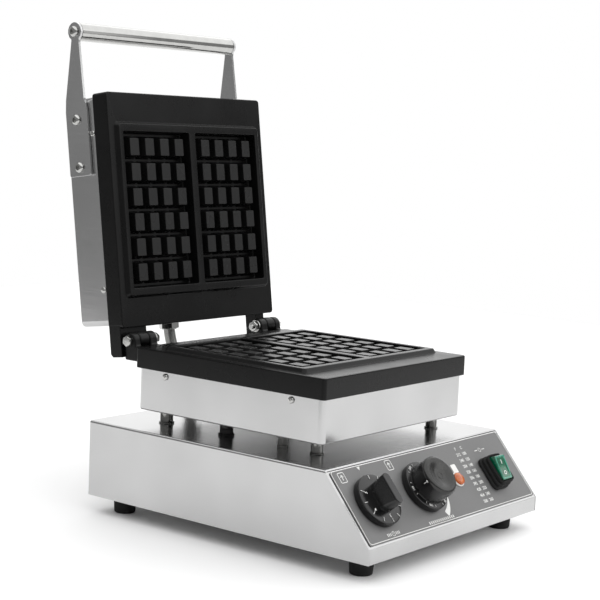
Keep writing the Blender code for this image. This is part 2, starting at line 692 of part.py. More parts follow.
def make_power_rocker(mats):
    """Rocker of the power switch, drawn level and then tipped to off."""
    axis_lift = BEZEL_HEIGHT - 0.0020
    frame = panel_frame(SWITCH_X, SWITCH_S, axis_lift) @ Matrix.Rotation(ROCKER_TILT, 4, "X")
    reach = ROCKER_LENGTH / 2
    tip = 22.0
    section = arc((0, 0), reach, -tip, tip, 4)
    section += [(0.0, reach * math.sin(math.radians(tip)) - 0.0012)]
    section += arc((0, 0), reach, 180 - tip, 180 + tip, 4)
    half = ROCKER_WIDTH / 2
    return new_object("power_rocker", prism(section, -half, half, "X"), mats["green"], frame)


# ================================================================ cooking unit
def mould_cutter(side):
    """Space of one mould: a block with pits that leave the teeth standing."""
    rim_top = CLOSED_GAP / 2
    floor = rim_top + MOULD_DEPTH
    bm = bmesh.new()
    bmesh.ops.create_grid(bm, x_segments=TEETH_ACROSS, y_segments=TEETH_ALONG, size=0.5)
    wide = MOULD_WIDTH - 2 * MOULD_MARGIN
    long_ = MOULD_LENGTH - 2 * MOULD_MARGIN
    for vert in bm.verts:
        vert.co = (vert.co.x * wide, vert.co.y * long_, side * floor)
    cells = list(bm.faces)
    border = [e for e in bm.edges if e.is_boundary]
    ring = bmesh.ops.extrude_edge_only(bm, edges=border)["geom"]
    skirt = [v for v in ring if isinstance(v, bmesh.types.BMVert)]
    for vert in skirt:
        vert.co.x *= MOULD_WIDTH / wide
        vert.co.y *= MOULD_LENGTH / long_
    border = [e for e in bm.edges if e.is_boundary]
    ring = bmesh.ops.extrude_edge_only(bm, edges=border)["geom"]
    for vert in (v for v in ring if isinstance(v, bmesh.types.BMVert)):
        vert.co.z = -side * 0.002
        vert.co.x += math.copysign(0.0012, vert.co.x)
        vert.co.y += math.copysign(0.0012, vert.co.y)
    bmesh.ops.holes_fill(bm, edges=[e for e in bm.edges if e.is_boundary])
    bmesh.ops.inset_individual(bm, faces=cells, thickness=TOOTH_GROOVE / 2)
    bmesh.ops.inset_individual(bm, faces=cells, thickness=TOOTH_SLOPE)
    for cell in cells:
        for vert in cell.verts:
            vert.co.z = side * (floor - TOOTH_HEIGHT)
    return bm


def ear_outline():
    """Side view of a lower ear: knuckle on top, rear face leaning as the open lid does."""
    lean = math.degrees(OPEN_ANGLE) - 90
    r = KNUCKLE_RADIUS
    low = -EAR_DROP
    rear = r / math.cos(math.radians(lean)) + low * math.tan(math.radians(lean))
    front = -PLATE_TO_AXIS - 0.003
    points = [(front, low), (rear, low)]
    points += arc((0, 0), r, -lean, 170, 9)
    points += [(-r - 0.001, -FACE_LIFT - 0.0002), (front, -FACE_LIFT - 0.0002)]
    return points


def lug_outline():
    """Side view of a lid lug: a block that ends past the hinge axis."""
    low, high = KNUCKLE_RADIUS + GAP, PLATE_OUTER - 0.0004
    return [(-PLATE_TO_AXIS - 0.003, low), (LUG_REACH, low), (LUG_REACH, high - 0.003),
            (LUG_REACH - 0.003, high), (-PLATE_TO_AXIS - 0.003, high)]


def knuckle_outline():
    """Side view of the lid's knuckle and the web that joins it to its lug."""
    r = KNUCKLE_RADIUS
    return arc((0, 0), r, 180, 360, 10) + [(r, r + 0.004), (-r, r + 0.004)]


def housing_screw_places():
    """Heights from the hinge axis and places along Y of the housing screws."""
    lift = PLATE_OUTER + HOUSING_SCREW_DROP
    return [(lift, PLATE_MID + sign * HOUSING_SCREW_SPREAD) for sign in (-1, 1)]


def make_plate(name, side, frame, mats):
    """Cast grid plate; side is -1 below the hinge axis and +1 above it."""
    face, back = side * FACE_LIFT, side * PLATE_OUTER
    outline = rounded(PLATE_WIDTH, PLATE_DEPTH, PLATE_CORNER, 4, (0, PLATE_MID))
    plate = new_object(name, prism(outline, min(face, back), max(face, back)),
                       mats["cast_iron"], frame)
    edge = plate.modifiers.new("soft_edges", "BEVEL")
    edge.width = 0.0014
    edge.segments = 1
    edge.limit_method = "ANGLE"
    edge.angle_limit = math.radians(50)
    rim = bmesh.new()
    rings = []
    for extra, z in ((0.0022, face + side * 0.001), (0.0, side * CLOSED_GAP / 2)):
        points = rounded(RIM_WIDTH + extra * 2, RIM_DEPTH + extra * 2, 0.003, 2, (0, PLATE_MID))
        rings.append([rim.verts.new((x, y, z)) for x, y in points])
    rim.faces.new(rings[0])
    rim.faces.new(rings[1])
    count = len(rings[0])
    for k in range(count):
        n = (k + 1) % count
        rim.faces.new((rings[0][k], rings[0][n], rings[1][n], rings[1][k]))
    boolean(plate, rim, "UNION")
    for x_sign in (-1, 1):
        centre = x_sign * (CENTRE_RIB + MOULD_WIDTH) / 2
        place = Matrix.Translation((centre, PLATE_MID, 0))
        boolean(plate, mould_cutter(side), frame=place)
    wall = HOUSING_WIDTH / 2 - SHEET - GAP
    for lift, y in housing_screw_places():
        for x_sign in (-1, 1):
            inner, outer = sorted((x_sign * (wall - BOSS_SIZE), x_sign * wall))
            z_low, z_high = sorted((back - side * 0.002, back + side * BOSS_SIZE))
            boolean(plate, box((inner, y - BOSS_SIZE / 2, z_low),
                               (outer, y + BOSS_SIZE / 2, z_high)), "UNION")
            hole = along("+X" if x_sign > 0 else "-X", (x_sign * wall, y, side * lift))
            boolean(plate, rod(PAN_SHANK + GAP, -0.007, 0.002), frame=hole)
    return plate


def make_lower_plate(mats):
    """Lower grid plate, with two ears on each side of the lid's knuckles."""
    plate = make_plate("lower_plate", -1, AXIS_FRAME, mats)
    for x_sign in (-1, 1):
        for start, end in ((MIDDLE_OUTER + GAP, HINGE_OUTER), (HINGE_INNER, MIDDLE_INNER - GAP)):
            low, high = sorted((x_sign * start, x_sign * end))
            boolean(plate, prism(ear_outline(), low, high, "X"), "UNION")
    boolean(plate, rod(HINGE_PIN_RADIUS + GAP, -0.15, 0.15, 20), frame=along("+X"))
    return smooth(plate, 30)


def lug_spans():
    """The left lug runs out to the side of the plate; the right one is as wide as its knuckle."""
    return ((-PLATE_WIDTH / 2 + 0.0004, -HINGE_INNER + 0.0020), (MIDDLE_INNER, MIDDLE_OUTER))


def make_upper_plate(mats, parent):
    """Upper grid plate, with a lug and a knuckle at each rear corner."""
    plate = make_plate("upper_plate", 1, AXIS_FRAME, mats)
    for low, high in lug_spans():
        boolean(plate, prism(lug_outline(), low, high, "X"), "UNION")
    for x_sign in (-1, 1):
        low, high = sorted((x_sign * MIDDLE_INNER, x_sign * MIDDLE_OUTER))
        boolean(plate, prism(knuckle_outline(), low, high, "X"), "UNION")
    boolean(plate, rod(HINGE_PIN_RADIUS + GAP, -0.15, 0.15, 20), frame=along("+X"))
    hang(plate, parent)
    return smooth(plate, 30)


def make_housing(name, side, mats):
    """Open stainless box behind a plate."""
    near = side * (PLATE_OUTER + GAP)
    far = side * LID_OUTER
    outline = rounded(HOUSING_WIDTH, HOUSING_DEPTH, HOUSING_CORNER, 4, (0, PLATE_MID))
    housing = new_object(name, prism(outline, min(near, far), max(near, far)), mats["steel"],
                         AXIS_FRAME)
    inner = rounded(HOUSING_WIDTH - 2 * SHEET, HOUSING_DEPTH - 2 * SHEET,
                    HOUSING_CORNER - SHEET, 4, (0, PLATE_MID))
    floor = far - side * SHEET
    mouth = near - side * 0.01
    boolean(housing, prism(inner, min(floor, mouth), max(floor, mouth)))
    for lift, y in housing_screw_places():
        boolean(housing, rod(PAN_SHANK + GAP, -0.15, 0.15), frame=along("+X", (0, y, side * lift)))
    return smooth(housing, 25)


def make_lower_housing(mats):
    housing = make_housing("lower_housing", -1, mats)
    floor_z = -LID_OUTER
    for x, y, _ in pillar_places().values():
        place = Matrix.Translation((x, y - AXIS_Y, floor_z))
        boolean(housing, rod(PILLAR_STUD_RADIUS + GAP, -0.003, 0.003), frame=place)
    for x, y, bore in conduit_places().values():
        place = Matrix.Translation((x, y - AXIS_Y, floor_z))
        boolean(housing, rod(bore + GAP, -0.003, 0.003), frame=place)
    return housing


def make_upper_housing(mats, parent):
    housing = make_housing("upper_housing", 1, mats)
    for reach in ARM_SCREW_REACHES:
        place = along("+X", (0, -reach, ARM_LIFT))
        boolean(housing, rod(BUTTON_SHANK + GAP, -0.15, 0.15), frame=place)
    rear = -PLATE_TO_AXIS - HOUSING_INSET
    place = along("+Y", (-HOSE_LEFT, rear, LID_MID))
    boolean(housing, rod(HOSE_RADIUS + GAP, -0.004, 0.004, 20), frame=place)
    hang(housing, parent)
    return housing


def heater_route(side):
    """Serpentine of four runs joined by three bends, in front of the rear wall."""
    lift = side * (PLATE_OUTER + GAP + HEATER_RADIUS)
    pitch, runs = PLATE_WIDTH / 5, HEATER_RUNS
    front, rear = PLATE_MID - PLATE_DEPTH / 4, PLATE_MID + PLATE_DEPTH / 4
    points = [(-pitch * 1.5, rear + 0.020, lift)]
    for k in range(runs - 1):
        x = (k - (runs - 2) / 2) * pitch
        heading = -1 if k % 2 == 0 else 1
        centre_y = front if heading < 0 else rear
        for j in range(7):
            a = math.pi * (1 - j / 6)
            y = centre_y + heading * math.sin(a) * pitch / 2
            points.append((x + math.cos(a) * pitch / 2, y, lift))
    points.append((pitch * 1.5, rear + 0.020, lift))
    return points


def make_heater(prefix, side, mats, parent=None):
    """Tubular element pressed to the back of a plate by a steel strap."""
    heater = bar(prefix + "_heater", heater_route(side), HEATER_RADIUS, mats["dark_steel"],
                 AXIS_FRAME)
    near = side * (PLATE_OUTER + 2 * GAP + 2 * HEATER_RADIUS)
    far = near + side * 0.002
    strap_outline = rounded(PLATE_WIDTH * 0.73, 0.022, 0.004, 3, (0, PLATE_MID))
    strap = new_object(prefix + "_heater_strap",
                       prism(strap_outline, min(near, far), max(near, far)), mats["steel"],
                       AXIS_FRAME)
    if parent:
        hang(heater, parent)
        hang(strap, parent)


def make_sensor_bulb(mats):
    """Thermostat bulb under the lower plate, between two runs of the element."""
    lift = -(PLATE_OUTER + GAP * 1.3 + SENSOR_BULB_RADIUS)
    frame = AXIS_FRAME @ along("+Y", (0, PLATE_MID - 0.035, lift))
    smooth(new_object("sensor_bulb", rod(SENSOR_BULB_RADIUS, -0.030, 0.018), mats["copper"], frame))


def pan_profile():
    """Section of a small pan-head screw, head out along +Z."""
    r, h = PAN_RADIUS, PAN_HEIGHT
    return [(0, -0.006), (PAN_SHANK, -0.006), (PAN_SHANK, GAP), (r, GAP), (r, GAP + h * 0.5),
            (r * 0.75, GAP + h), (0, GAP + h)]


def make_housing_screws(prefix, side, mats, parent=None):
    """Two screws through each side wall into the bosses of the plate."""
    wall = HOUSING_WIDTH / 2
    for (lift, y), end in zip(housing_screw_places(), ("front", "rear")):
        for axis, x, hand in (("-X", -wall, "left"), ("+X", wall, "right")):
            name = f"{prefix}_housing_screw_{end}_{hand}"
            frame = AXIS_FRAME @ along(axis, (x, y, side * lift))
            screw = new_object(name, turned(pan_profile(), SMALL_SIDES), mats["steel"], frame)
            if parent:
                hang(screw, parent)
            smooth(screw)


# ================================================================ hinge and lid
def make_hinge_bolts(mats):
    """A hex bolt through each hinge, with its nut on the inner side."""
    for x_sign, hand in ((-1, "left"), (1, "right")):
        outer, inner = HINGE_OUTER + GAP, HINGE_INNER - GAP
        axis = "+X" if x_sign > 0 else "-X"
        frame = AXIS_FRAME @ along(axis)
        bolt = new_object("hinge_bolt_" + hand,
                          turned([(0, outer), (HEX_RADIUS, outer), (HEX_RADIUS, outer + HEX_HEIGHT),
                                  (0, outer + HEX_HEIGHT)], 6, math.pi / 6),
                          mats["bright_steel"], frame)
        boolean(bolt, rod(HINGE_PIN_RADIUS, inner - 0.0085, outer + 0.001, 20), "UNION")
        nut = new_object("hinge_nut_" + hand,
                         turned([(0, inner - 0.0062), (HEX_RADIUS, inner - 0.0062),
                                 (HEX_RADIUS, inner - 0.0014), (0, inner - 0.0014)], 6, math.pi / 6),
                         mats["bright_steel"], frame)
        washer = turned([(0, inner - 0.0020), (0.0066, inner - 0.0020), (0.0066, inner),
                         (0, inner)], ROUND_SIDES)
        boolean(nut, washer, "UNION")
        boolean(nut, rod(HINGE_PIN_RADIUS + GAP, inner - 0.02, inner + 0.02, 20))


def arm_outline():
    """Side view of a handle arm: broad foot, tapered neck, round end."""
    half, neck = ARM_WIDTH / 2, ARM_NECK / 2
    corner = 0.002
    foot = ARM_FOOT_BACK - LID_FRONT
    neck_y, neck_z = -LID_FRONT - ARM_NECK_AHEAD, TUBE_LIFT + 0.0008
    shoulder = ARM_SHOULDER_BACK - LID_FRONT
    lean = math.degrees(math.asin(neck / ARM_END_RADIUS))
    points = arc((foot - corner, ARM_LIFT + half - corner), corner, 0, 90, 3)
    points += [(shoulder, ARM_LIFT + half), (shoulder - 0.012, ARM_LIFT + half - 0.0015)]
    points += [(neck_y, neck_z + neck)]
    points += arc((-TUBE_REACH, TUBE_LIFT), ARM_END_RADIUS, lean, 360 - lean, 12)
    points += [(neck_y, neck_z - neck), (shoulder - 0.012, ARM_LIFT - half + 0.0030)]
    points += [(shoulder, ARM_LIFT - half)]
    points += arc((foot - corner, ARM_LIFT - half + corner), corner, -90, 0, 3)
    return points


def make_arm(hand, x_sign, mats, parent):
    wall = HOUSING_WIDTH / 2 + GAP
    low, high = sorted((x_sign * wall, x_sign * (wall + ARM_THICKNESS)))
    arm = new_object("handle_arm_" + hand, prism(arm_outline(), low, high, "X"), mats["steel"],
                     AXIS_FRAME)
    for reach in ARM_SCREW_REACHES:
        place = along("+X", (0, -reach, ARM_LIFT))
        boolean(arm, rod(BUTTON_SHANK + GAP, -0.15, 0.15), frame=place)
    place = along("+X", (0, -TUBE_REACH, TUBE_LIFT))
    boolean(arm, rod(BUTTON_SHANK + GAP, -0.15, 0.15), frame=place)
    hang(arm, parent)
    return arm


def button_screw(name, axis, place, shank, mats, parent):
    """Button-head screw with a hexagon socket, head out along its own +Z."""
    r, h = BUTTON_RADIUS, BUTTON_HEIGHT
    profile = [(0, -shank), (BUTTON_SHANK, -shank), (BUTTON_SHANK, GAP), (r, GAP), (r, GAP + h * 0.3),
               (r * 0.86, GAP + h * 0.72), (r * 0.55, GAP + h), (0, GAP + h)]
    screw = new_object(name, turned(profile, SMALL_SIDES + 4), mats["bright_steel"],
                       AXIS_FRAME @ along(axis, place))
    boolean(screw, turned([(0, h * 0.35), (0.0023, h * 0.35), (0.0023, h * 2), (0, h * 2)], 6))
    hang(screw, parent)
    smooth(screw)


def make_handle(mats, parent):
    """Polished tube between two flat arms screwed to the lid."""
    wall = HOUSING_WIDTH / 2 + GAP
    length = wall - GAP
    frame = AXIS_FRAME @ along("+X", (0, -TUBE_REACH, TUBE_LIFT))
    r, bore, plug = TUBE_RADIUS, TUBE_RADIUS - TUBE_WALL, 0.012
    profile = [(BUTTON_SHANK + GAP, -length), (r - 0.0008, -length), (r, -length + 0.0008),
               (r, length - 0.0008), (r - 0.0008, length), (BUTTON_SHANK + GAP, length),
               (BUTTON_SHANK + GAP, length - plug), (bore, length - plug),
               (bore, -length + plug), (BUTTON_SHANK + GAP, -length + plug)]
    tube = new_object("handle_tube", turned(profile, KNOB_SIDES), mats["bright_steel"], frame)
    hang(tube, parent)
    smooth(tube)
    for hand, x_sign in (("left", -1), ("right", 1)):
        make_arm(hand, x_sign, mats, parent)
        axis = "+X" if x_sign > 0 else "-X"
        face = x_sign * (wall + ARM_THICKNESS)
        for end, reach in zip(("lower", "upper"), ARM_SCREW_REACHES):
            button_screw(f"arm_screw_{end}_{hand}", axis, (face, -reach, ARM_LIFT),
                         ARM_THICKNESS + SHEET + 0.005, mats, parent)
        button_screw("handle_end_screw_" + hand, axis, (face, -TUBE_REACH, TUBE_LIFT),
                     ARM_THICKNESS + 0.010, mats, parent)


# ================================================================ hose to the lid
def hose_nut_profile():
    """Body of a hose gland, from inside the sheet out along +Z."""
    bore, neck, flange = HOSE_RADIUS - 0.0016, HOSE_RADIUS, HOSE_NUT_RADIUS
    return [(bore, -0.008), (neck, -0.008), (neck, GAP), (flange, GAP),
            (flange, HOSE_NUT_HEIGHT), (HOSE_RADIUS + 0.001, HOSE_NUT_HEIGHT),
            (HOSE_RADIUS + 0.001, HOSE_NUT_HEIGHT - 0.005), (bore, HOSE_NUT_HEIGHT - 0.005)]


def hose_gland_frames():
    """Frames of the glands on the base and on the lid, each pointing along the hose."""
    rear = -PLATE_TO_AXIS - HOUSING_INSET
    on_base = Matrix.Translation((-HOSE_LEFT, HOSE_BASE_Y, BASE_TOP))
    on_lid = LID_FRAME @ along("+Y", (-HOSE_LEFT, rear, LID_MID))
    return on_base, on_lid


def make_hose(mats, parent):
    """Flexible steel hose that takes the lid's wires over the hinge."""
    on_base, on_lid = hose_gland_frames()
    for name, frame in (("hose_gland_base", on_base), ("hose_gland_lid", on_lid)):
        gland = new_object(name, turned(hose_nut_profile(), 12), mats["bright_steel"], frame)
        if name.endswith("lid"):
            hang(gland, parent)
        smooth(gland, 20)
    depth = HOSE_NUT_HEIGHT - 0.005 + GAP
    start = on_base @ Vector((0, 0, depth))
    end = on_lid @ Vector((0, 0, depth))
    start_pull = start + Vector((0, 0, HOSE_BASE_PULL))
    end_pull = end + (on_lid.to_3x3() @ Vector((0, 0, 1))) * HOSE_LID_PULL
    points = []
    steps = 22
    for k in range(steps + 1):
        t = k / steps
        u = 1 - t
        points.append(u ** 3 * start + 3 * u * u * t * start_pull + 3 * u * t * t * end_pull
                      + t ** 3 * end)
    bar("lid_hose", points, HOSE_RADIUS, mats["steel"], Matrix.Identity(4))


# ================================================================ whole machine
def build():
    clear_scene()
    mats = {
        "steel": finish("brushed_stainless_steel", (0.62, 0.62, 0.61), 0.32, 1.0),
        "bright_steel": finish("polished_stainless_steel", (0.78, 0.78, 0.77), 0.16, 1.0),
        "dark_steel": finish("plated_steel", (0.30, 0.30, 0.30), 0.40, 1.0),
        "cast_iron": finish("coated_cast_aluminium", (0.018, 0.018, 0.018), 0.48, 0.0),
        "black": finish("black_phenolic", (0.012, 0.012, 0.012), 0.42, 0.0),
        "rubber": finish("black_rubber", (0.020, 0.020, 0.020), 0.75, 0.0),
        "label": finish("printed_panel_film", (0.20, 0.20, 0.20), 0.50, 0.0),
        "white": finish("white_nylon", (0.80, 0.80, 0.78), 0.45, 0.0),
        "amber": finish("amber_polycarbonate", (0.90, 0.28, 0.04), 0.20, 0.0),
        "green": finish("green_polycarbonate", (0.00, 0.22, 0.13), 0.25, 0.0),
        "ceramic": finish("steatite", (0.82, 0.80, 0.74), 0.55, 0.0),
        "copper": finish("copper", (0.72, 0.35, 0.22), 0.35, 1.0),
    }
    for make in (make_body_shell, make_control_panel, make_panel_label, make_rear_panel,
                 make_bottom_cover, make_feet, make_pillars, make_conduits, make_mains_gland,
                 make_terminal_block, make_timer, make_thermostat, make_timer_knob,
                 make_temperature_knob, make_indicator, make_switch_body, make_power_rocker,
                 make_lower_plate, make_lower_housing, make_sensor_bulb, make_hinge_bolts):
        make(mats)
    make_shaft("timer_shaft", TIMER_X, TIMER_S, mats)
    make_shaft("thermostat_shaft", THERMO_X, THERMO_S, mats)
    make_heater("lower", -1, mats)
    make_housing_screws("lower", -1, mats)
    lid = pivot("lid_axis", AXIS_FRAME)
    make_upper_plate(mats, lid)
    make_upper_housing(mats, lid)
    make_heater("upper", 1, mats, lid)
    make_housing_screws("upper", 1, mats, lid)
    make_handle(mats, lid)
    lid.matrix_world = LID_FRAME
    make_hose(mats, lid)
    bpy.context.view_layer.update()


build()
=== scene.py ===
"""Looks of a commercial waffle maker with its lid open.

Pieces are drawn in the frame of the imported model, in metres. Those of the lid are drawn shut,
about the hinge, and then opened with it; the controls are drawn flat and set on the slope.
"""
import json
import math

import bmesh
import bpy
from mathutils import Matrix, Vector

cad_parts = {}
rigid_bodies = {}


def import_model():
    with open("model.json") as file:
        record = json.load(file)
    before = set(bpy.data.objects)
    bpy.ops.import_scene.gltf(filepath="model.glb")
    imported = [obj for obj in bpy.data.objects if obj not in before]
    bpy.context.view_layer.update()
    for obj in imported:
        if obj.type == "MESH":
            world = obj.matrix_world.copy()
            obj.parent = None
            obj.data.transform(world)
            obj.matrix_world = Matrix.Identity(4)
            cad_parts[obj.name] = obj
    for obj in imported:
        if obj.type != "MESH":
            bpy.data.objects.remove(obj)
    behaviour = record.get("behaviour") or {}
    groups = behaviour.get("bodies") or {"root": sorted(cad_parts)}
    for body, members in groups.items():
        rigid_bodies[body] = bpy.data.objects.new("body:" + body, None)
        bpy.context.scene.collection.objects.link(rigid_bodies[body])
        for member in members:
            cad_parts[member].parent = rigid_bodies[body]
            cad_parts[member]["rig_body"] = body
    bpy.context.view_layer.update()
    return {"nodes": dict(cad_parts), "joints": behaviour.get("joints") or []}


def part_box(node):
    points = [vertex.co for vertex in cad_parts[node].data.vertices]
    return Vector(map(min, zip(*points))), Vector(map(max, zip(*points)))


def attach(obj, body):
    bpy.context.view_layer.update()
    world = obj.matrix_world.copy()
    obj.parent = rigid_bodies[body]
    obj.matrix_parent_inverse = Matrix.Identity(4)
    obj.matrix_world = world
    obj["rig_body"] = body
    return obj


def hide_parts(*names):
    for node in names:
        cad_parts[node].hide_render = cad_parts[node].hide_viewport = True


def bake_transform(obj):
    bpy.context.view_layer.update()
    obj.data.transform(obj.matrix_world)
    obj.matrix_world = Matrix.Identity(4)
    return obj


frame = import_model()

# ---------------------------------------------------------------- places read from the frame
JOINTS = {joint["name"]: joint for joint in frame["joints"]}
HINGE = Vector(JOINTS["lid_hinge"]["pos_m"])
OPEN_ANGLE = math.radians(JOINTS["lid_hinge"]["range_deg"][1])
SHUT = Matrix.Translation(HINGE)
OPEN = SHUT @ Matrix.Rotation(-OPEN_ANGLE, 4, "X")
SLOPE_NORMAL = Vector(JOINTS["timer_turn"]["axis"])
SLOPE_ANGLE = math.atan2(-SLOPE_NORMAL.y, SLOPE_NORMAL.z)
TILT = Matrix.Rotation(SLOPE_ANGLE, 4, "X")
BASE_LOW, BASE_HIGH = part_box("body_shell")
BASE_TOP = BASE_HIGH.z
BASE_BACK = BASE_HIGH.y
STAND_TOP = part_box("lower_housing")[0].z     # underside of the cooking unit

# ---------------------------------------------------------------- sheet and cooking unit
GAP = 0.0003
STAND = STAND_TOP - BASE_TOP - GAP           # height of the pillars
ENDS_AND_HANDS = ("front_left", "front_right", "rear_left", "rear_right")
SHEET = 0.0012                # folded stainless sheet
LIP_HEIGHT = 0.0142           # upright strip under the control panel
PLATE_WIDTH = 0.234
PLATE_DEPTH = 0.234
PLATE_THICKNESS = 0.020
PLATE_CORNER = 0.0038
PLATE_TO_AXIS = 0.0125        # rear edge of the plates to the hinge axis
FACE_LIFT = 0.0042            # plate face to the hinge axis
RIM_TOP = 0.0002              # rim to the hinge axis
RIM_WIDTH = 0.2126
RIM_DEPTH = 0.1706
RIM_SLOPE = 0.0022            # how far the outside of the rim spreads
MOULD_WIDTH = 0.0964
MOULD_LENGTH = 0.1566
MOULD_DEPTH = 0.0130
MOULD_DRAFT = 0.0012
TEETH_MARGIN_ACROSS = 0.0048   # clear floor beside the teeth
TEETH_MARGIN_ALONG = 0.0030
CENTRE_RIB = 0.0092
TEETH_ACROSS = 4
TEETH_ALONG = 6
TOOTH_HEIGHT = 0.0122
TOOTH_GROOVE = 0.0024
TOOTH_SLOPE_ACROSS = 0.0035
TOOTH_SLOPE_ALONG = 0.0028
HOUSING_HEIGHT = 0.0413
HOUSING_INSET = 0.0025
HOUSING_CORNER = 0.006
PITCH_ACROSS = (MOULD_WIDTH - 2 * TEETH_MARGIN_ACROSS) / TEETH_ACROSS
PITCH_ALONG = (MOULD_LENGTH - 2 * TEETH_MARGIN_ALONG) / TEETH_ALONG
PLATE_MID = -(PLATE_TO_AXIS + PLATE_DEPTH / 2)
PLATE_OUTER = FACE_LIFT + PLATE_THICKNESS
HOUSING_WIDTH = PLATE_WIDTH - 2 * HOUSING_INSET
HOUSING_DEPTH = PLATE_DEPTH - 2 * HOUSING_INSET
LID_MID = PLATE_OUTER + HOUSING_HEIGHT / 2
LID_FRONT = PLATE_TO_AXIS + PLATE_DEPTH - HOUSING_INSET

# ---------------------------------------------------------------- hinge and handle
KNUCKLE_RADIUS = 0.0080
HINGE_OUTER = 0.1135
MIDDLE_OUTER = 0.1051
MIDDLE_INNER = 0.0921
HINGE_INNER = 0.0815
EAR_DROP = 0.0195
LUG_REACH = 0.0160
PIN_RADIUS = 0.0030
HEX_RADIUS = 0.0056
HEX_HEIGHT = 0.0042
TUBE_REACH = LID_FRONT + 0.0662
TUBE_LIFT = LID_MID - 0.0034
TUBE_RADIUS = 0.0092
TUBE_HALF = HOUSING_WIDTH / 2
ARM_THICKNESS = 0.0030
ARM_LIFT = PLATE_OUTER + 0.02315
ARM_SCREW_REACHES = (LID_FRONT - 0.0686, LID_FRONT - 0.0210)

# ---------------------------------------------------------------- controls
KNOB_RADIUS = 0.0250
KNOB_CLEARANCE = 0.0015       # skirt of a knob above the panel sheet
SKIRT_HEIGHT = 0.0075
TIMER_KNOB_HEIGHT = 0.0265
CAP_RADIUS = 0.0200
CAP_HEIGHT = 0.0285
LABEL_TOP = 0.0008            # face of the printed film above the panel sheet
THERMO_X, THERMO_S = -0.0280, 0.0395
LAMP_X, LAMP_S = 0.0330, 0.0386
LAMP_RADIUS = 0.0065
SWITCH_X, SWITCH_S = 0.0913, 0.0345
BEZEL_WIDTH, BEZEL_LENGTH, BEZEL_HEIGHT = 0.0270, 0.0350, 0.0140
ROCKER_WIDTH, ROCKER_LENGTH = 0.0185, 0.0262
ROCKER_TILT = math.radians(11.0)

# ---------------------------------------------------------------- print, in x and s on the panel
PRINT_LIFT = LABEL_TOP + 0.0001
CRESCENT_RADIUS = 0.0335      # about the axis of the thermostat
CRESCENT_START, CRESCENT_SWEEP = -24, -38    # degrees
FRAMED_ARROWS = ((-0.1262, 0.0688), (-0.0545, 0.0696))
CLOCK_SIGN = (-0.1008, 0.0072)
POWER_SIGN = (0.0940, 0.0620)
TABLE_TOP, TABLE_STEP = 0.0622, 0.00645

# ---------------------------------------------------------------- hose
HOSE_RADIUS = 0.0063
NUT_RADIUS = 0.0107
NUT_HEIGHT = 0.0105
HOSE_BASE_PULL = 0.0320       # how far the hose keeps straight on from its base gland
HOSE_LID_PULL = 0.0470        # and from its lid gland
HOSE_START = sum(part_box("hose_gland_base"), Vector()) / 2
HOSE_START.z = BASE_TOP
HOSE_X = HOSE_START.x
HOSE_END = OPEN @ Vector((HOSE_X, -PLATE_TO_AXIS - HOUSING_INSET, LID_MID))
HOSE_END_WAY = (OPEN.to_3x3() @ Vector((0, 1, 0))).normalized()

# ---------------------------------------------------------------- camera
CAMERA_PLACE = (-1.1909, -0.9414, 0.3885)
CAMERA_TURN = (-51.63, 6.99, 2.39)           # azimuth, elevation and roll in degrees
CAMERA_LENS = 92.13                          # mm, on a sensor of 36 mm
CAMERA_SHIFT = (0.0133, 0.0236)


# ================================================================ node helper and colours
def linear(colour):
    """Linear RGBA of an sRGB hex colour."""
    values = []
    for k in (1, 3, 5):
        c = int(colour[k:k + 2], 16) / 255
        values.append(c / 12.92 if c <= 0.04045 else ((c + 0.055) / 1.055) ** 2.4)
    return (*values, 1.0)


def add(tree, kind, inputs=(), **settings):
    """Add a node; settings are its properties, inputs its values or the sockets that feed it."""
    made = tree.nodes.new(kind)
    for key, value in settings.items():
        setattr(made, key, value)
    for key, value in dict(inputs).items():
        if isinstance(value, bpy.types.NodeSocket):
            tree.links.new(value, made.inputs[key])
        else:
            made.inputs[key].default_value = value
    return made


def maths(tree, operation, a, b=0.0):
    """Result of one arithmetic node."""
    return add(tree, "ShaderNodeMath", {0: a, 1: b}, operation=operation).outputs[0]


def placed(name, data):
    """A new object in the scene."""
    item = bpy.data.objects.new(name, data)
    bpy.context.scene.collection.objects.link(item)
    return item


# ================================================================ materials
def new_surface(name, **constants):
    """A Principled material; constants go straight on the shader's own sockets."""
    mat = bpy.data.materials.new(name)
    mat.use_nodes = True
    shader = mat.node_tree.nodes["Principled BSDF"]
    for key, value in constants.items():
        shader.inputs[key.replace("_", " ")].default_value = value
    return mat, mat.node_tree, shader


def grain_of(tree, size, stretch=(1, 1, 1), detail=4.0, roughness=0.55):
    """Noise on Object coordinates; size is that of its grain in metres."""
    place = add(tree, "ShaderNodeTexCoord").outputs["Object"]
    turned_place = add(tree, "ShaderNodeMapping", {"Vector": place, "Scale": stretch})
    return add(tree, "ShaderNodeTexNoise", {
        "Vector": turned_place.outputs["Vector"], "Scale": 1 / size, "Detail": detail,
        "Roughness": roughness}).outputs["Fac"]


def colour_by(tree, shader, factor, low, high, start=0.3, end=0.7):
    """Base colour that runs between two sRGB colours with a factor."""
    ramp = add(tree, "ShaderNodeValToRGB", {"Fac": factor})
    for stop, place, colour in zip(ramp.color_ramp.elements, (start, end), (low, high)):
        stop.position = place
        stop.color = linear(colour)
    tree.links.new(ramp.outputs["Color"], shader.inputs["Base Color"])


def roughness_by(tree, shader, factor, low, high):
    spread = add(tree, "ShaderNodeMapRange", {
        "Value": factor, "From Min": 0.25, "From Max": 0.75, "To Min": low, "To Max": high})
    tree.links.new(spread.outputs["Result"], shader.inputs["Roughness"])


def relief_by(tree, shader, factor, depth, strength):
    """Bump of a real depth in metres."""
    bump = add(tree, "ShaderNodeBump",
               {"Height": factor, "Distance": depth, "Strength": strength})
    tree.links.new(bump.outputs["Normal"], shader.inputs["Normal"])


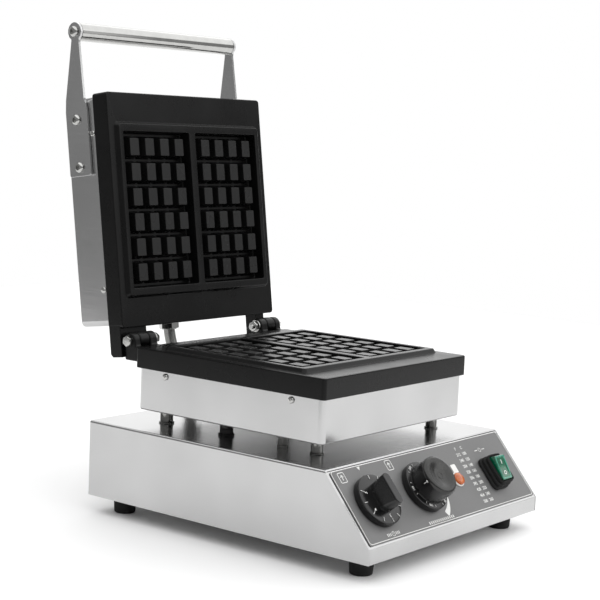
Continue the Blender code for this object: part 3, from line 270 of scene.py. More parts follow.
def brushed_stainless():
    """Stainless sheet with a belt-brushed face: fine level lines that draw the light out.

    Real lines are about 0.1 mm apart; these are 0.5 mm so that they show. Walls across the
    machine and walls along it each take lines along their own length.
    """
    mat, tree, shader = new_surface("brushed_stainless_sheet", Metallic=1.0)
    along_x = grain_of(tree, 0.0005, (0.01, 1, 1), 3.0, 0.6)
    along_y = grain_of(tree, 0.0005, (1, 0.01, 1), 3.0, 0.6)
    facing = add(tree, "ShaderNodeTexCoord").outputs["Normal"]
    split = add(tree, "ShaderNodeSeparateXYZ", {"Vector": facing})
    front = maths(tree, "GREATER_THAN", maths(tree, "ABSOLUTE", split.outputs["Y"]), 0.6)
    lines = add(tree, "ShaderNodeMix", {
        "Factor": front, "A": along_y, "B": along_x}).outputs["Result"]
    clouds = grain_of(tree, 0.09, detail=2.0)
    both = add(tree, "ShaderNodeMix", {"Factor": 0.65, "A": lines, "B": clouds}).outputs["Result"]
    colour_by(tree, shader, both, "#B9B9B9", "#C5C5C5", 0.35, 0.65)
    roughness_by(tree, shader, lines, 0.15, 0.23)
    relief_by(tree, shader, lines, 0.00001, 0.25)
    return mat


def nonstick_casting():
    """Cast aluminium under a sprayed non-stick coat: soft black with a pebbled satin sheen.

    The pebble of the spray is under 1 mm; broad patches are a little drier and greyer. The crowns
    of the teeth are painted greyer still: a painted sheen where their tops catch the light.
    """
    mat, tree, shader = new_surface("nonstick_coated_casting", Specular_IOR_Level=0.2)
    pebble = grain_of(tree, 0.0007, detail=3.0)
    patches = grain_of(tree, 0.045, detail=3.0)
    colour_by(tree, shader, patches, "#0A0A0A", "#101010")
    coat_colour = shader.inputs["Base Color"].links[0].from_socket
    # tooth crowns take a lighter grey: painted sheen on the tops of the teeth
    crown_sheen = add(tree, "ShaderNodeAttribute", attribute_name="crown")
    shade = add(tree, "ShaderNodeMix", {0: crown_sheen.outputs["Fac"], 6: coat_colour, 7: linear("#262626")},
                data_type="RGBA")
    tree.links.new(shade.outputs[2], shader.inputs["Base Color"])
    roughness_by(tree, shader, patches, 0.24, 0.32)
    relief_by(tree, shader, pebble, 0.00003, 0.25)
    return mat


def grained(name, low, high, grain, rough, relief=None, detail=2.0, **constants):
    """A surface whose colour, roughness and relief all follow one fine grain.

    rough holds the two ends of the roughness, relief the depth and the strength of the bump.
    """
    mat, tree, shader = new_surface(name, **constants)
    speck = grain_of(tree, grain, detail=detail)
    colour_by(tree, shader, speck, low, high)
    roughness_by(tree, shader, speck, *rough)
    if relief:
        relief_by(tree, shader, speck, *relief)
    return mat


# Finishes: a material and the slot of the record that it belongs to.
METAL = {"Metallic": 1.0}
TINTED = {"Transmission_Weight": 0.2, "Coat_Weight": 0.7, "Coat_Roughness": 0.06}
FINE_RELIEF = (0.00003, 0.3)
STEEL = (brushed_stainless(), "brushed_stainless_steel")
COATED = (nonstick_casting(), "coated_cast_aluminium")
# Tube and fasteners of stainless steel, buffed: a mirror with the faintest haze.
BRIGHT = (grained("polished_stainless", "#B4B4B2", "#BCBCBA", 0.012, (0.09, 0.13), **METAL),
          "polished_stainless_steel")
# Pillars and hose, turned or drawn: the same polished steel and haze, painted darker as shade.
POLISHED_PAINTED_SHADE = (grained("turned_stainless", "#8C8C8A", "#989896", 0.012, (0.09, 0.13), **METAL),
          "polished_stainless_steel")
# Zinc-plated steel, gone dull: grey with a faint spangle.
ZINC = (grained("dull_zinc_plate", "#6E6E6D", "#8E8E8C", 0.003, (0.32, 0.50), FINE_RELIEF, 3.0,
                **METAL), "plated_steel")
# Moulded phenolic of the knobs and the glands: deep black, satin, slightly orange-peeled.
PHENOLIC = (grained("moulded_black_phenolic", "#090909", "#0F0F10", 0.0016, (0.17, 0.25),
                    (0.00004, 0.3), Specular_IOR_Level=0.5), "black_phenolic")
# Vulcanised rubber: dull, dusty in its pores.
RUBBER = (grained("vulcanised_black_rubber", "#121212", "#1D1D1D", 0.0009, (0.68, 0.86),
                  (0.0001, 0.4), 5.0, Specular_IOR_Level=0.3), "black_rubber")
# Polyester overlay printed mid-grey on its back: even colour under a fine satin texture.
FILM = (grained("printed_polyester_film", "#6B6B6B", "#737373", 0.0006, (0.34, 0.44),
                FINE_RELIEF, Specular_IOR_Level=0.45), "printed_panel_film")
# Screen-printed ink: opaque, a little uneven.
WHITE_INK = (grained("white_screen_ink", "#E2E2E0", "#F2F2F0", 0.0008, (0.50, 0.62), None, 3.0,
                     Specular_IOR_Level=0.35), "printed_panel_film")
# Turned and anodised aluminium disc in the top of a knob: dark grey satin.
DISC = (grained("anodised_aluminium_disc", "#3C3C3C", "#4A4A49", 0.0009, (0.20, 0.28),
                (0.00002, 0.3), 3.0, **METAL), "black_phenolic")
# Tinted polycarbonate of the pilot lamp: orange, glossy, lit a little from within.
AMBER = (grained("amber_polycarbonate", "#C4561A", "#DE7A30", 0.004, (0.12, 0.20),
                 Transmission_Weight=0.25, Coat_Weight=0.6, Coat_Roughness=0.05),
         "amber_polycarbonate")
# Tinted polycarbonate of the rocker: emerald; its rim is a paler copy, a painted glow where light
# gathers.
GREEN = (grained("green_polycarbonate", "#015A3F", "#047652", 0.006, (0.14, 0.24), **TINTED),
         "green_polycarbonate")
# paler copy of the rocker's green for its rim: painted glow
GREEN_PAINTED_GLOW = (grained("green_polycarbonate_edge", "#1F7F66", "#35A085", 0.006, (0.14, 0.24),
                      **TINTED), "green_polycarbonate")
# Moulded nylon, fired steatite and drawn copper: two close colours and a fine grain.
NYLON = (grained("moulded_white_nylon", "#DEDDD8", "#EFEEEA", 0.001, (0.34, 0.46), FINE_RELIEF,
                 4.0), "white_nylon")
CERAMIC = (grained("fired_steatite", "#D6D0C1", "#E6E1D3", 0.0012, (0.50, 0.62), FINE_RELIEF,
                   4.0), "steatite")
COPPER = (grained("drawn_copper", "#A4633F", "#C98560", 0.002, (0.26, 0.38), FINE_RELIEF, 4.0,
                  **METAL), "copper")


# ================================================================ drawing tools
def prism(outline, low, high, axis="Z"):
    """Extrude a flat outline between two heights along X, Y or Z."""
    order = {"X": (2, 0, 1), "Y": (0, 2, 1), "Z": (0, 1, 2)}[axis]
    bm = bmesh.new()
    rings = []
    for height in (low, high):
        ring = []
        for u, v in outline:
            flat = (u, v, height)
            ring.append(bm.verts.new(Vector([flat[k] for k in order])))
        rings.append(ring)
    bm.faces.new(rings[0])
    bm.faces.new(rings[1])
    bridge(bm, rings[0], rings[1])
    return bm


def bridge(bm, *rings):
    """Join each ring to the next with faces; all have as many points."""
    for a, b in zip(rings, rings[1:]):
        for k in range(len(a)):
            n = (k + 1) % len(a)
            bm.faces.new((a[k], a[n], b[n], b[k]))


def turned(profile, sides=64, phase=0.0):
    """Turn a closed (radius, height) profile about Z; radius 0 makes a pole."""
    bm = bmesh.new()
    rings = []
    for radius, height in profile:
        if radius < 1e-7:
            rings.append([bm.verts.new((0, 0, height))] * sides)
            continue
        ring = []
        for k in range(sides):
            a = phase + 2 * math.pi * k / sides
            ring.append(bm.verts.new((radius * math.cos(a), radius * math.sin(a), height)))
        rings.append(ring)
    for i in range(len(rings)):
        a, b = rings[i], rings[(i + 1) % len(rings)]
        for k in range(sides):
            n = (k + 1) % sides
            corners = []
            for vert in (a[k], a[n], b[n], b[k]):
                if vert not in corners:
                    corners.append(vert)
            if len(corners) > 2:
                bm.faces.new(corners)
    return bm


def rounded(width, depth, radius, steps=6, centre=(0.0, 0.0)):
    """Outline of a rectangle with round corners."""
    points = []
    for k, (sx, sy) in enumerate(((1, 1), (-1, 1), (-1, -1), (1, -1))):
        cx = centre[0] + sx * (width / 2 - radius)
        cy = centre[1] + sy * (depth / 2 - radius)
        for j in range(steps + 1):
            a = math.pi / 2 * (k + j / steps)
            points.append((cx + radius * math.cos(a), cy + radius * math.sin(a)))
    return points


def arc(centre, radius, start, end, steps):
    """Points along an arc, angles in degrees."""
    points = []
    for k in range(steps + 1):
        a = math.radians(start + (end - start) * k / steps)
        points.append((centre[0] + radius * math.cos(a), centre[1] + radius * math.sin(a)))
    return points


def loft(outlines):
    """Closed skin over outlines given as (points, height), all with as many points."""
    bm = bmesh.new()
    rings = [[bm.verts.new((x, y, z)) for x, y in points] for points, z in outlines]
    bm.faces.new(rings[0])
    bm.faces.new(rings[-1])
    bridge(bm, *rings)
    return bm


def soften(bm, width, segments=2, angle=30):
    """Round every edge that is sharper than an angle."""
    bmesh.ops.recalc_face_normals(bm, faces=bm.faces)
    limit = math.radians(angle)
    edges = [e for e in bm.edges if len(e.link_faces) == 2 and e.calc_face_angle() > limit]
    bmesh.ops.bevel(bm, geom=edges, offset=width, segments=segments, profile=0.5,
                    affect="EDGES", clamp_overlap=True)
    return bm


def joined(*shapes):
    """One bmesh out of several."""
    whole = bmesh.new()
    for shape in shapes:
        part = bpy.data.meshes.new("part")
        shape.to_mesh(part)
        shape.free()
        whole.from_mesh(part)
        bpy.data.meshes.remove(part)
    return whole


def moved(bm, matrix):
    bm.transform(matrix)
    return bm


def pointing(axis, place=(0, 0, 0)):
    """Frame whose own Z points along a world axis such as +X."""
    turn = {
        "+X": Matrix.Rotation(math.pi / 2, 4, "Y"), "-X": Matrix.Rotation(-math.pi / 2, 4, "Y"),
        "+Y": Matrix.Rotation(-math.pi / 2, 4, "X"),
    }[axis]
    return Matrix.Translation(place) @ turn


def on_slope(x, s, lift):
    """Frame on the sloping panel, s metres up from its lower edge."""
    y = BASE_LOW.y + s * math.cos(SLOPE_ANGLE)
    z = BASE_LOW.z + LIP_HEIGHT + s * math.sin(SLOPE_ANGLE)
    return Matrix.Translation((x, y, z)) @ TILT @ Matrix.Translation((0, 0, lift))


def control_frame(joint, lift):
    """Frame of a knob, a lift above the place of its joint."""
    return Matrix.Translation(JOINTS[joint]["pos_m"]) @ TILT @ Matrix.Translation((0, 0, lift))


def to_piece(name, mesh, finish, body, nodes=(), corner=35):
    """Finish a mesh: smooth shading, material, body to ride on, CAD nodes that it replaces."""
    mat, slot = finish
    item = placed(name, mesh)
    mesh.materials.clear()
    mesh.materials.append(mat)
    mesh.shade_smooth()
    mesh.set_sharp_from_angle(angle=math.radians(corner))
    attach(item, body)
    if nodes:
        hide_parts(*nodes)
    even_shading(item)
    return item


def even_shading(item):
    """Let large flats keep their own shading beside small rounded edges."""
    weighted = item.modifiers.new("even_shading", "WEIGHTED_NORMAL")
    weighted.keep_sharp = True
    weighted.weight = 60


def as_mesh(name, bm):
    """Plain mesh out of a bmesh, its normals outward."""
    bmesh.ops.recalc_face_normals(bm, faces=bm.faces)
    mesh = bpy.data.meshes.new(name)
    bm.to_mesh(mesh)
    bm.free()
    return mesh


def piece(name, bm, finish, body, nodes=(), at=None):
    """Make a piece out of a bmesh, set in its place in the frame of the model."""
    if at:
        bm.transform(at)
    return to_piece(name, as_mesh(name, bm), finish, body, nodes)


def refined(node, finish, edge=0.0003, corner=25):
    """A CAD piece kept in its shape, with its flats merged and its edges softened."""
    bm = bmesh.new()
    bm.from_mesh(frame["nodes"][node].data)
    bmesh.ops.remove_doubles(bm, verts=bm.verts, dist=1e-6)
    if edge:
        bmesh.ops.dissolve_limit(bm, angle_limit=math.radians(0.5), verts=bm.verts,
                                 edges=bm.edges)
    mesh = bpy.data.meshes.new(node + "_finished")
    bm.to_mesh(mesh)
    bm.free()
    body = frame["nodes"][node]["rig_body"]
    item = to_piece(node + "_finished", mesh, finish, body, [node], corner)
    if not edge:
        return item
    item.modifiers.clear()
    rounding = item.modifiers.new("soft_edges", "BEVEL")
    rounding.width = edge
    rounding.segments = 2
    rounding.limit_method = "ANGLE"
    rounding.angle_limit = math.radians(40)
    rounding.harden_normals = True
    even_shading(item)
    return item


# ================================================================ geometry nodes
def new_tree(name, sockets):
    """A geometry tree with a mesh input and named inputs; returns it and its input node."""
    tree = bpy.data.node_groups.new(name, "GeometryNodeTree")
    tree.interface.new_socket("Geometry", in_out="INPUT", socket_type="NodeSocketGeometry")
    for label, kind in sockets:
        tree.interface.new_socket(label, in_out="INPUT", socket_type="NodeSocket" + kind)
    tree.interface.new_socket("Geometry", in_out="OUTPUT", socket_type="NodeSocketGeometry")
    return tree, add(tree, "NodeGroupInput")


def close_tree(tree, given, geometry):
    """End a tree: real geometry with its material."""
    real = add(tree, "GeometryNodeRealizeInstances", {"Geometry": geometry})
    painted = add(tree, "GeometryNodeSetMaterial", {
        "Geometry": real.outputs[0], "Material": given.outputs["Material"]})
    add(tree, "NodeGroupOutput", {"Geometry": painted.outputs[0]})
    return tree


def grown(tree, data, values):
    """Run a tree on a mesh or curve with its inputs set by name; returns a plain mesh."""
    holder = placed(tree.name, data)
    step = holder.modifiers.new("grow", "NODES")
    step.node_group = tree
    for socket in tree.interface.items_tree:
        if socket.in_out == "INPUT" and socket.name in values:
            step[socket.identifier] = values[socket.name]
    depsgraph = bpy.context.evaluated_depsgraph_get()
    mesh = bpy.data.meshes.new_from_object(holder.evaluated_get(depsgraph))
    bpy.data.objects.remove(holder)
    return mesh


def teeth_tree():
    """Copies of one tooth in rows over both moulds of a plate."""
    tree, given = new_tree("mould_teeth", [
        ("Across", "Int"), ("Along", "Int"), ("Pitch Across", "Float"), ("Pitch Along", "Float"),
        ("Mould Spacing", "Float"), ("Material", "Material")])
    rows = {}
    for way in ("Across", "Along"):
        gaps = maths(tree, "SUBTRACT", given.outputs[way], 1.0)
        rows[way] = maths(tree, "MULTIPLY", gaps, given.outputs["Pitch " + way])
    grid = add(tree, "GeometryNodeMeshGrid", {
        "Size X": rows["Across"], "Size Y": rows["Along"],
        "Vertices X": given.outputs["Across"], "Vertices Y": given.outputs["Along"]})
    teeth = add(tree, "GeometryNodeInstanceOnPoints", {
        "Points": grid.outputs["Mesh"], "Instance": given.outputs["Geometry"]})
    pair = add(tree, "GeometryNodeJoinGeometry")
    for sign in (-0.5, 0.5):
        shift = maths(tree, "MULTIPLY", given.outputs["Mould Spacing"], sign)
        offset = add(tree, "ShaderNodeCombineXYZ", {"X": shift})
        side = add(tree, "GeometryNodeTransform", {
            "Geometry": teeth.outputs[0], "Translation": offset.outputs[0]})
        tree.links.new(side.outputs[0], pair.inputs[0])
    return close_tree(tree, given, pair.outputs[0])


def fastener_tree():
    """A copy of one fastener at each point, its own Z along the point's facing."""
    tree, given = new_tree("fasteners", [("Fastener", "Object"), ("Material", "Material")])
    facing = add(tree, "GeometryNodeInputNamedAttribute", {"Name": "facing"},
                 data_type="FLOAT_VECTOR")
    turn = add(tree, "FunctionNodeAlignRotationToVector", {
        "Vector": facing.outputs["Attribute"]}, axis="Z")
    shape = add(tree, "GeometryNodeObjectInfo", {"Object": given.outputs["Fastener"]})
    spread = add(tree, "GeometryNodeInstanceOnPoints", {
        "Points": given.outputs["Geometry"], "Instance": shape.outputs["Geometry"],
        "Rotation": turn.outputs[0]})
    return close_tree(tree, given, spread.outputs[0])


def hose_tree():
    """Corrugated hose along a curve: its radius swells once for each rib."""
    tree, given = new_tree("ribbed_hose", [
        ("Radius", "Float"), ("Rib Depth", "Float"), ("Ribs", "Int"), ("Material", "Material")])
    points = maths(tree, "MULTIPLY", given.outputs["Ribs"], 4.0)
    path = add(tree, "GeometryNodeResampleCurve", {
        "Curve": given.outputs["Geometry"], "Count": points})
    index = add(tree, "GeometryNodeInputIndex").outputs[0]
    wave = maths(tree, "COSINE", maths(tree, "MULTIPLY", index, math.pi / 2))
    swell = maths(tree, "MULTIPLY", wave, given.outputs["Rib Depth"])
    radius = maths(tree, "ADD", given.outputs["Radius"], swell)
    waved = add(tree, "GeometryNodeSetCurveRadius", {"Curve": path.outputs[0], "Radius": radius})
    ring = add(tree, "GeometryNodeCurvePrimitiveCircle", {"Resolution": 32, "Radius": 1.0})
    hose = add(tree, "GeometryNodeCurveToMesh", {
        "Curve": waved.outputs[0], "Profile Curve": ring.outputs[0],
        "Scale": radius, "Fill Caps": True})
    return close_tree(tree, given, hose.outputs[0])


def ticks_tree():
    """Copies of one mark on part of a circle, each turned to face its middle."""
    tree, given = new_tree("dial_ticks", [
        ("Count", "Int"), ("Radius", "Float"), ("Sweep", "Float"), ("Material", "Material")])
    line = add(tree, "GeometryNodeMeshLine", {"Count": given.outputs["Count"]})
    gaps = maths(tree, "SUBTRACT", given.outputs["Count"], 1.0)
    share = maths(tree, "DIVIDE", add(tree, "GeometryNodeInputIndex").outputs[0], gaps)
    angle = maths(tree, "MULTIPLY", share, given.outputs["Sweep"])
    turn = add(tree, "ShaderNodeCombineXYZ", {"Z": angle})
    arm = add(tree, "ShaderNodeCombineXYZ", {"Y": given.outputs["Radius"]})
    rim = add(tree, "ShaderNodeVectorRotate", {
        "Vector": arm.outputs[0], "Angle": angle}, rotation_type="Z_AXIS")
    spots = add(tree, "GeometryNodeSetPosition", {
        "Geometry": line.outputs[0], "Position": rim.outputs[0]})
    marks = add(tree, "GeometryNodeInstanceOnPoints", {
        "Points": spots.outputs[0], "Instance": given.outputs["Geometry"],
        "Rotation": turn.outputs[0]})
    return close_tree(tree, given, marks.outputs[0])


TEETH = teeth_tree()
FASTENERS = fastener_tree()
HOSE = hose_tree()
TICKS = ticks_tree()


def fasteners(name, shape, places, finish, body, nodes):
    """A set of equal fasteners at (place, facing) pairs, as one piece."""
    source = bpy.data.objects.new("fastener", as_mesh("fastener", shape))
    spots = bpy.data.meshes.new("spots")
    spots.from_pydata([tuple(place) for place, _ in places], [], [])
    facing = spots.attributes.new("facing", "FLOAT_VECTOR", "POINT")
    for k, (_, way) in enumerate(places):
        facing.data[k].vector = way
    mesh = grown(FASTENERS, spots, {"Fastener": source, "Material": finish[0]})
    bpy.data.objects.remove(source)
    return to_piece(name, mesh, finish, body, nodes)


# ================================================================ base box
def make_base():
    """Folded box: shell, sloping panel, back and floor, with their folds and edges kept."""
    for node in ("body_shell", "control_panel", "rear_panel", "bottom_cover"):
        refined(node, STEEL)
    refined("panel_label", FILM, 0)


def standing(node, z):
    """Half the width of a CAD piece, and a frame over its middle at a height."""
    low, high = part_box(node)
    middle = (low + high) / 2
    return (high.x - low.x) / 2, Matrix.Translation((middle.x, middle.y, z))


def make_feet():
    """Tapered rubber feet with a rounded tread edge."""
    for end in ENDS_AND_HANDS:
        node = "foot_" + end
        wide, at = standing(node, 0)
        top = BASE_LOW.z - GAP
        tread = wide * 0.88
        profile = [(0, 0), (tread - 0.003, 0)] + arc((tread - 0.0016, 0.0016), 0.0016, 270, 355, 5)
        profile += [(wide - 0.0004, top - 0.0008), (wide - 0.0008, top), (0, top)]
        piece(node + "_rubber", turned(profile), RUBBER, "base", [node], at)


def make_pillars():
    """Turned pillars between the base and the cooking unit, each with a loose ring at its foot."""
    for end in ENDS_AND_HANDS:
        node = "pillar_" + end
        ring, at = standing(node, BASE_TOP)
        shaft = ring - 0.0013
        profile = [(0, GAP), (ring - 0.0003, GAP), (ring, 0.0006), (ring, 0.0012),
                   (ring - 0.0004, 0.0016), (shaft, 0.0020), (shaft, 0.0026),
                   (shaft - 0.0003, 0.0028), (shaft, 0.0030), (shaft, STAND - 0.0004),
                   (shaft - 0.0004, STAND), (0, STAND)]
        # pillar in the darker copy of the polished steel: painted shade under the cooking unit
        piece(node + "_turned", turned(profile, 48), POLISHED_PAINTED_SHADE, "base", [node], at)


def make_conduits():
    """Black gland with its clamping collar, and a plated sleeve, on the left of the base."""
    collar, at = standing("wiring_conduit", BASE_TOP)
    neck = collar - 0.0015
    profile = [(0, GAP), (collar - 0.0004, GAP), (collar, 0.0008), (collar, 0.0018),
               (collar - 0.0006, 0.0023), (neck, 0.0026), (neck, STAND * 0.5),
               (neck - 0.0005, STAND * 0.5 + 0.0004), (neck, STAND * 0.5 + 0.0008),
               (neck, STAND), (0, STAND)]
    piece("wiring_gland", turned(profile, 48), PHENOLIC, "base", ["wiring_conduit"], at)
    collar, at = standing("sensor_conduit", BASE_TOP)
    profile = [(0, GAP), (collar, GAP), (collar, 0.0020), (collar - 0.0008, 0.0024),
               (collar - 0.0010, STAND), (0, STAND)]
    piece("sensor_sleeve", turned(profile, 40), ZINC, "base", ["sensor_conduit"], at)


def make_mains_gland():
    """Ribbed cable gland in the back of the base."""
    low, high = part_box("mains_gland")
    middle = (low + high) / 2
    flange = (high.x - low.x) / 2
    bore, outer = 0.0038, 0.0066
    profile = [(bore, -0.010), (outer - 0.0006, -0.010), (outer - 0.0006, GAP),
               (flange - 0.0004, GAP), (flange, 0.0008), (flange, 0.0034),
               (flange - 0.0006, 0.0040), (outer + 0.001, 0.0048)]
    for k in range(4):
        z = 0.0054 + 0.0016 * k
        profile += [(outer + 0.0003, z), (outer + 0.0003, z + 0.0007), (outer - 0.0003, z + 0.0010)]
    profile += [(outer - 0.0004, 0.0116), (outer - 0.0008, 0.0120), (bore, 0.0120)]
    at = pointing("+Y", (middle.x, BASE_BACK, middle.z))
    piece("mains_gland_ribbed", turned(profile, 48), PHENOLIC, "base", ["mains_gland"], at)


def make_inner_pieces():
    """Pieces inside the housings keep their CAD shape."""
    for node, finish in (("terminal_block", CERAMIC), ("timer", ZINC), ("thermostat", ZINC),
                         ("lower_heater_strap", STEEL), ("upper_heater_strap", STEEL),
                         ("lower_heater", ZINC), ("upper_heater", ZINC), ("timer_shaft", ZINC),
                         ("thermostat_shaft", ZINC), ("sensor_bulb", COPPER)):
        refined(node, finish, 0.0002, 40)


# ================================================================ controls
def knob_skirt(top):
    """Profile of a knob's skirt from its hollow underside to its own top."""
    wall = 0.0022
    r, z = KNOB_RADIUS, SKIRT_HEIGHT
    return [(0, top * 0.6), (r - wall, top * 0.6), (r - wall, 0.0), (r - 0.0004, 0.0),
            (r, 0.0005), (r, z - 0.0016), (r - 0.0003, z - 0.0009), (r - 0.0009, z - 0.0006)]


def ticks(name, count, radius, sweep, start, length, width, at, body):
    """White marks round a dial, drawn just above its face."""
    half = width / 2
    outline = [(-half, 0), (half, 0), (half, length), (-half, length)]
    mark = as_mesh("mark", prism(outline, 0, 0.00008))
    mesh = grown(TICKS, mark, {"Count": count, "Radius": radius, "Sweep": math.radians(sweep),
                               "Material": WHITE_INK[0]})
    mesh.transform(at @ Matrix.Rotation(math.radians(start), 4, "Z"))
    return to_piece(name, mesh, WHITE_INK, body)


def lettering(name, texts, finish, body):
    """Numbers and signs as one thin mesh; texts are (words, height, frame)."""
    whole = bmesh.new()
    for words, height, at in texts:
        curve = bpy.data.curves.new("words", "FONT")
        curve.body = words
        curve.size = height / 0.7
        curve.align_x = "CENTER"
        curve.align_y = "CENTER"
        curve.resolution_u = 3
        curve.extrude = 0.00004
        curve.offset = 0.00006
        holder = bpy.data.objects.new("words", curve)
        flat = bpy.data.meshes.new_from_object(holder)
        flat.transform(at)
        whole.from_mesh(flat)
        bpy.data.objects.remove(holder)
    return piece(name, whole, finish, body)


def dial_numbers(numbers, radius, start, step, height, at):
    """Frames for numbers round a dial, their feet towards its middle."""
    texts = []
    for k, number in enumerate(numbers):
        turn = Matrix.Rotation(math.radians(start + step * k), 4, "Z")
        texts.append((number, height, at @ turn @ Matrix.Translation((0, radius, 0))))
    return texts


def make_timer_knob():
    """Skirted knob with a tapered bar grip and marks round its skirt."""
    at = control_frame("timer_turn", KNOB_CLEARANCE)
    lift = SKIRT_HEIGHT
    skirt = turned(knob_skirt(lift) + [(0.0195, lift), (0, lift)], 96)
    top = TIMER_KNOB_HEIGHT - KNOB_CLEARANCE
    near, far = (0, 0.0004), (0, 0.0010)
    grip = loft([(rounded(0.0168, 0.0300, 0.0080, 8, near), lift - 0.002),
                 (rounded(0.0156, 0.0290, 0.0074, 8, near), lift + 0.0006),
                 (rounded(0.0146, 0.0290, 0.0069, 8, near), lift + 0.0016),
                 (rounded(0.0096, 0.0302, 0.0044, 8, far), top - 0.0016),
                 (rounded(0.0088, 0.0302, 0.0040, 8, far), top - 0.0005),
                 (rounded(0.0076, 0.0292, 0.0034, 8, far), top)])
    piece("timer_knob_moulded", joined(skirt, grip), PHENOLIC, "timer_knob", ["timer_knob"], at)
    face = at @ Matrix.Translation((0, 0, lift + 0.0001))
    ticks("timer_knob_ticks", 11, 0.0198, -300, 0, 0.0040, 0.00045, face, "timer_knob")
    numbers = dial_numbers(["1", "2", "3", "4", "5"], 0.0172, -60, -60, 0.0032, face)
    lettering("timer_knob_numbers", numbers, WHITE_INK, "timer_knob")


def make_temperature_knob():
    """Skirted knob with a tall cap, its top a satin insert dished round a small ring."""
    at = control_frame("temperature_turn", KNOB_CLEARANCE)
    lift, top, cap = SKIRT_HEIGHT, CAP_HEIGHT - KNOB_CLEARANCE - GAP, CAP_RADIUS
    edge = 0.0034
    profile = knob_skirt(lift) + [(cap + 0.0004, lift), (cap, lift + 0.0006),
                                  (cap, top - edge - 0.0004), (cap - 0.0003, top - edge),
                                  (0, top - edge)]
    piece("temperature_knob_moulded", turned(profile, 96), PHENOLIC, "temperature_knob",
          ["temperature_knob"], at)
    insert = [(0, top - edge - 0.0003)]
    insert += arc((cap - edge - 0.0001, top - edge), edge, 0, 90, 10)
    for k in range(9):
        share = k / 8
        radius = (cap - edge) * (1 - share) + 0.0045 * share
        sink = 0.0019 * (0.5 - 0.5 * math.cos(math.pi * min(1, share * 1.15)))
        insert.append((radius - 0.0004, top - 0.0001 - sink))
    insert += [(0.0038, top - 0.0017), (0.0030, top - 0.0017), (0.0028, top - 0.0020),
               (0, top - 0.0020)]
    piece("temperature_knob_insert", turned(insert, 96), DISC, "temperature_knob", [], at)
    face = at @ Matrix.Translation((0, 0, lift + 0.0001))
    ticks("temperature_knob_ticks", 10, 0.0214, -270, 225, 0.0022, 0.0003, face,
          "temperature_knob")
    numbers = dial_numbers(["50", "100", "150", "200", "250"], 0.0226, 210, -60, 0.0022, face)
    lettering("temperature_knob_numbers", numbers, WHITE_INK, "temperature_knob")
    turn = Matrix.Rotation(math.radians(95), 4, "Z")
    wall = prism(rounded(0.0007, 0.0008, 0.0002, 2, (0, cap - 0.0003)), top - 0.0085, top - edge)
    foot = prism(rounded(0.0028, 0.0008, 0.0002, 2, (0, cap - 0.0003)), top - edge - 0.0012,
                 top - edge - 0.0006)
    index = moved(joined(wall, foot), turn)
    piece("temperature_knob_index", index, WHITE_INK, "temperature_knob", [], at)


def make_lamp():
    """Orange pilot lamp: white collar and a domed lens with an inner ring."""
    at = on_slope(LAMP_X, LAMP_S, LABEL_TOP)
    collar = LAMP_RADIUS + 0.0010
    body = [(0, 0.0001), (collar - 0.0002, 0.0001), (collar, 0.0004), (collar - 0.0001, 0.0010),
            (collar - 0.0005, 0.0013), (LAMP_RADIUS - 0.0004, 0.0013), (0, 0.0013)]
    piece("lamp_collar", turned(body, 56), NYLON, "base", ["indicator_body"], at)
    r = LAMP_RADIUS - 0.0001
    lens = [(0, 0.0014), (r, 0.0014), (r, 0.0026), (r - 0.0002, 0.0030)]
    lens += [(r * math.cos(math.radians(a)) - 0.0002, 0.0028 + 0.0020 * math.sin(math.radians(a)))
             for a in (20, 35, 50, 65, 80)]
    lens += [(0, 0.0048)]
    piece("lamp_lens", turned(lens, 56), AMBER, "base", ["indicator_lens"], at)


def make_switch():
    """Splash-proof switch: a ribbed boot round the rocker."""
    at = on_slope(SWITCH_X, SWITCH_S, LABEL_TOP)
    height = BEZEL_HEIGHT - LABEL_TOP
    rings = []
    ribs = 3
    for k in range(ribs):
        low, high = height * k / ribs, height * (k + 1) / ribs
        shrink = 0.0016 * k
        wide, long_ = BEZEL_WIDTH - shrink, BEZEL_LENGTH - shrink
        valley = 0.0026
        rings += [(rounded(wide - valley, long_ - valley, 0.0050), low + 0.0001),
                  (rounded(wide - 0.0004, long_ - 0.0004, 0.0060), low + 0.0009),
                  (rounded(wide, long_, 0.0062), low + 0.0014),
                  (rounded(wide, long_, 0.0062), high - 0.0016),
                  (rounded(wide - 0.0006, long_ - 0.0006, 0.0060), high - 0.0010),
                  (rounded(wide - valley, long_ - valley, 0.0050), high - 0.0003)]
    pocket_wide, pocket_long = ROCKER_WIDTH + 0.0008, ROCKER_LENGTH + 0.0010
    rings += [(rounded(pocket_wide + 0.0022, pocket_long + 0.0024, 0.0034), height),
              (rounded(pocket_wide + 0.0004, pocket_long + 0.0004, 0.0014), height - 0.0003),
              (rounded(pocket_wide, pocket_long, 0.0012), height - 0.0060)]
    piece("switch_boot", loft(rings), RUBBER, "base", ["switch_body"], at)


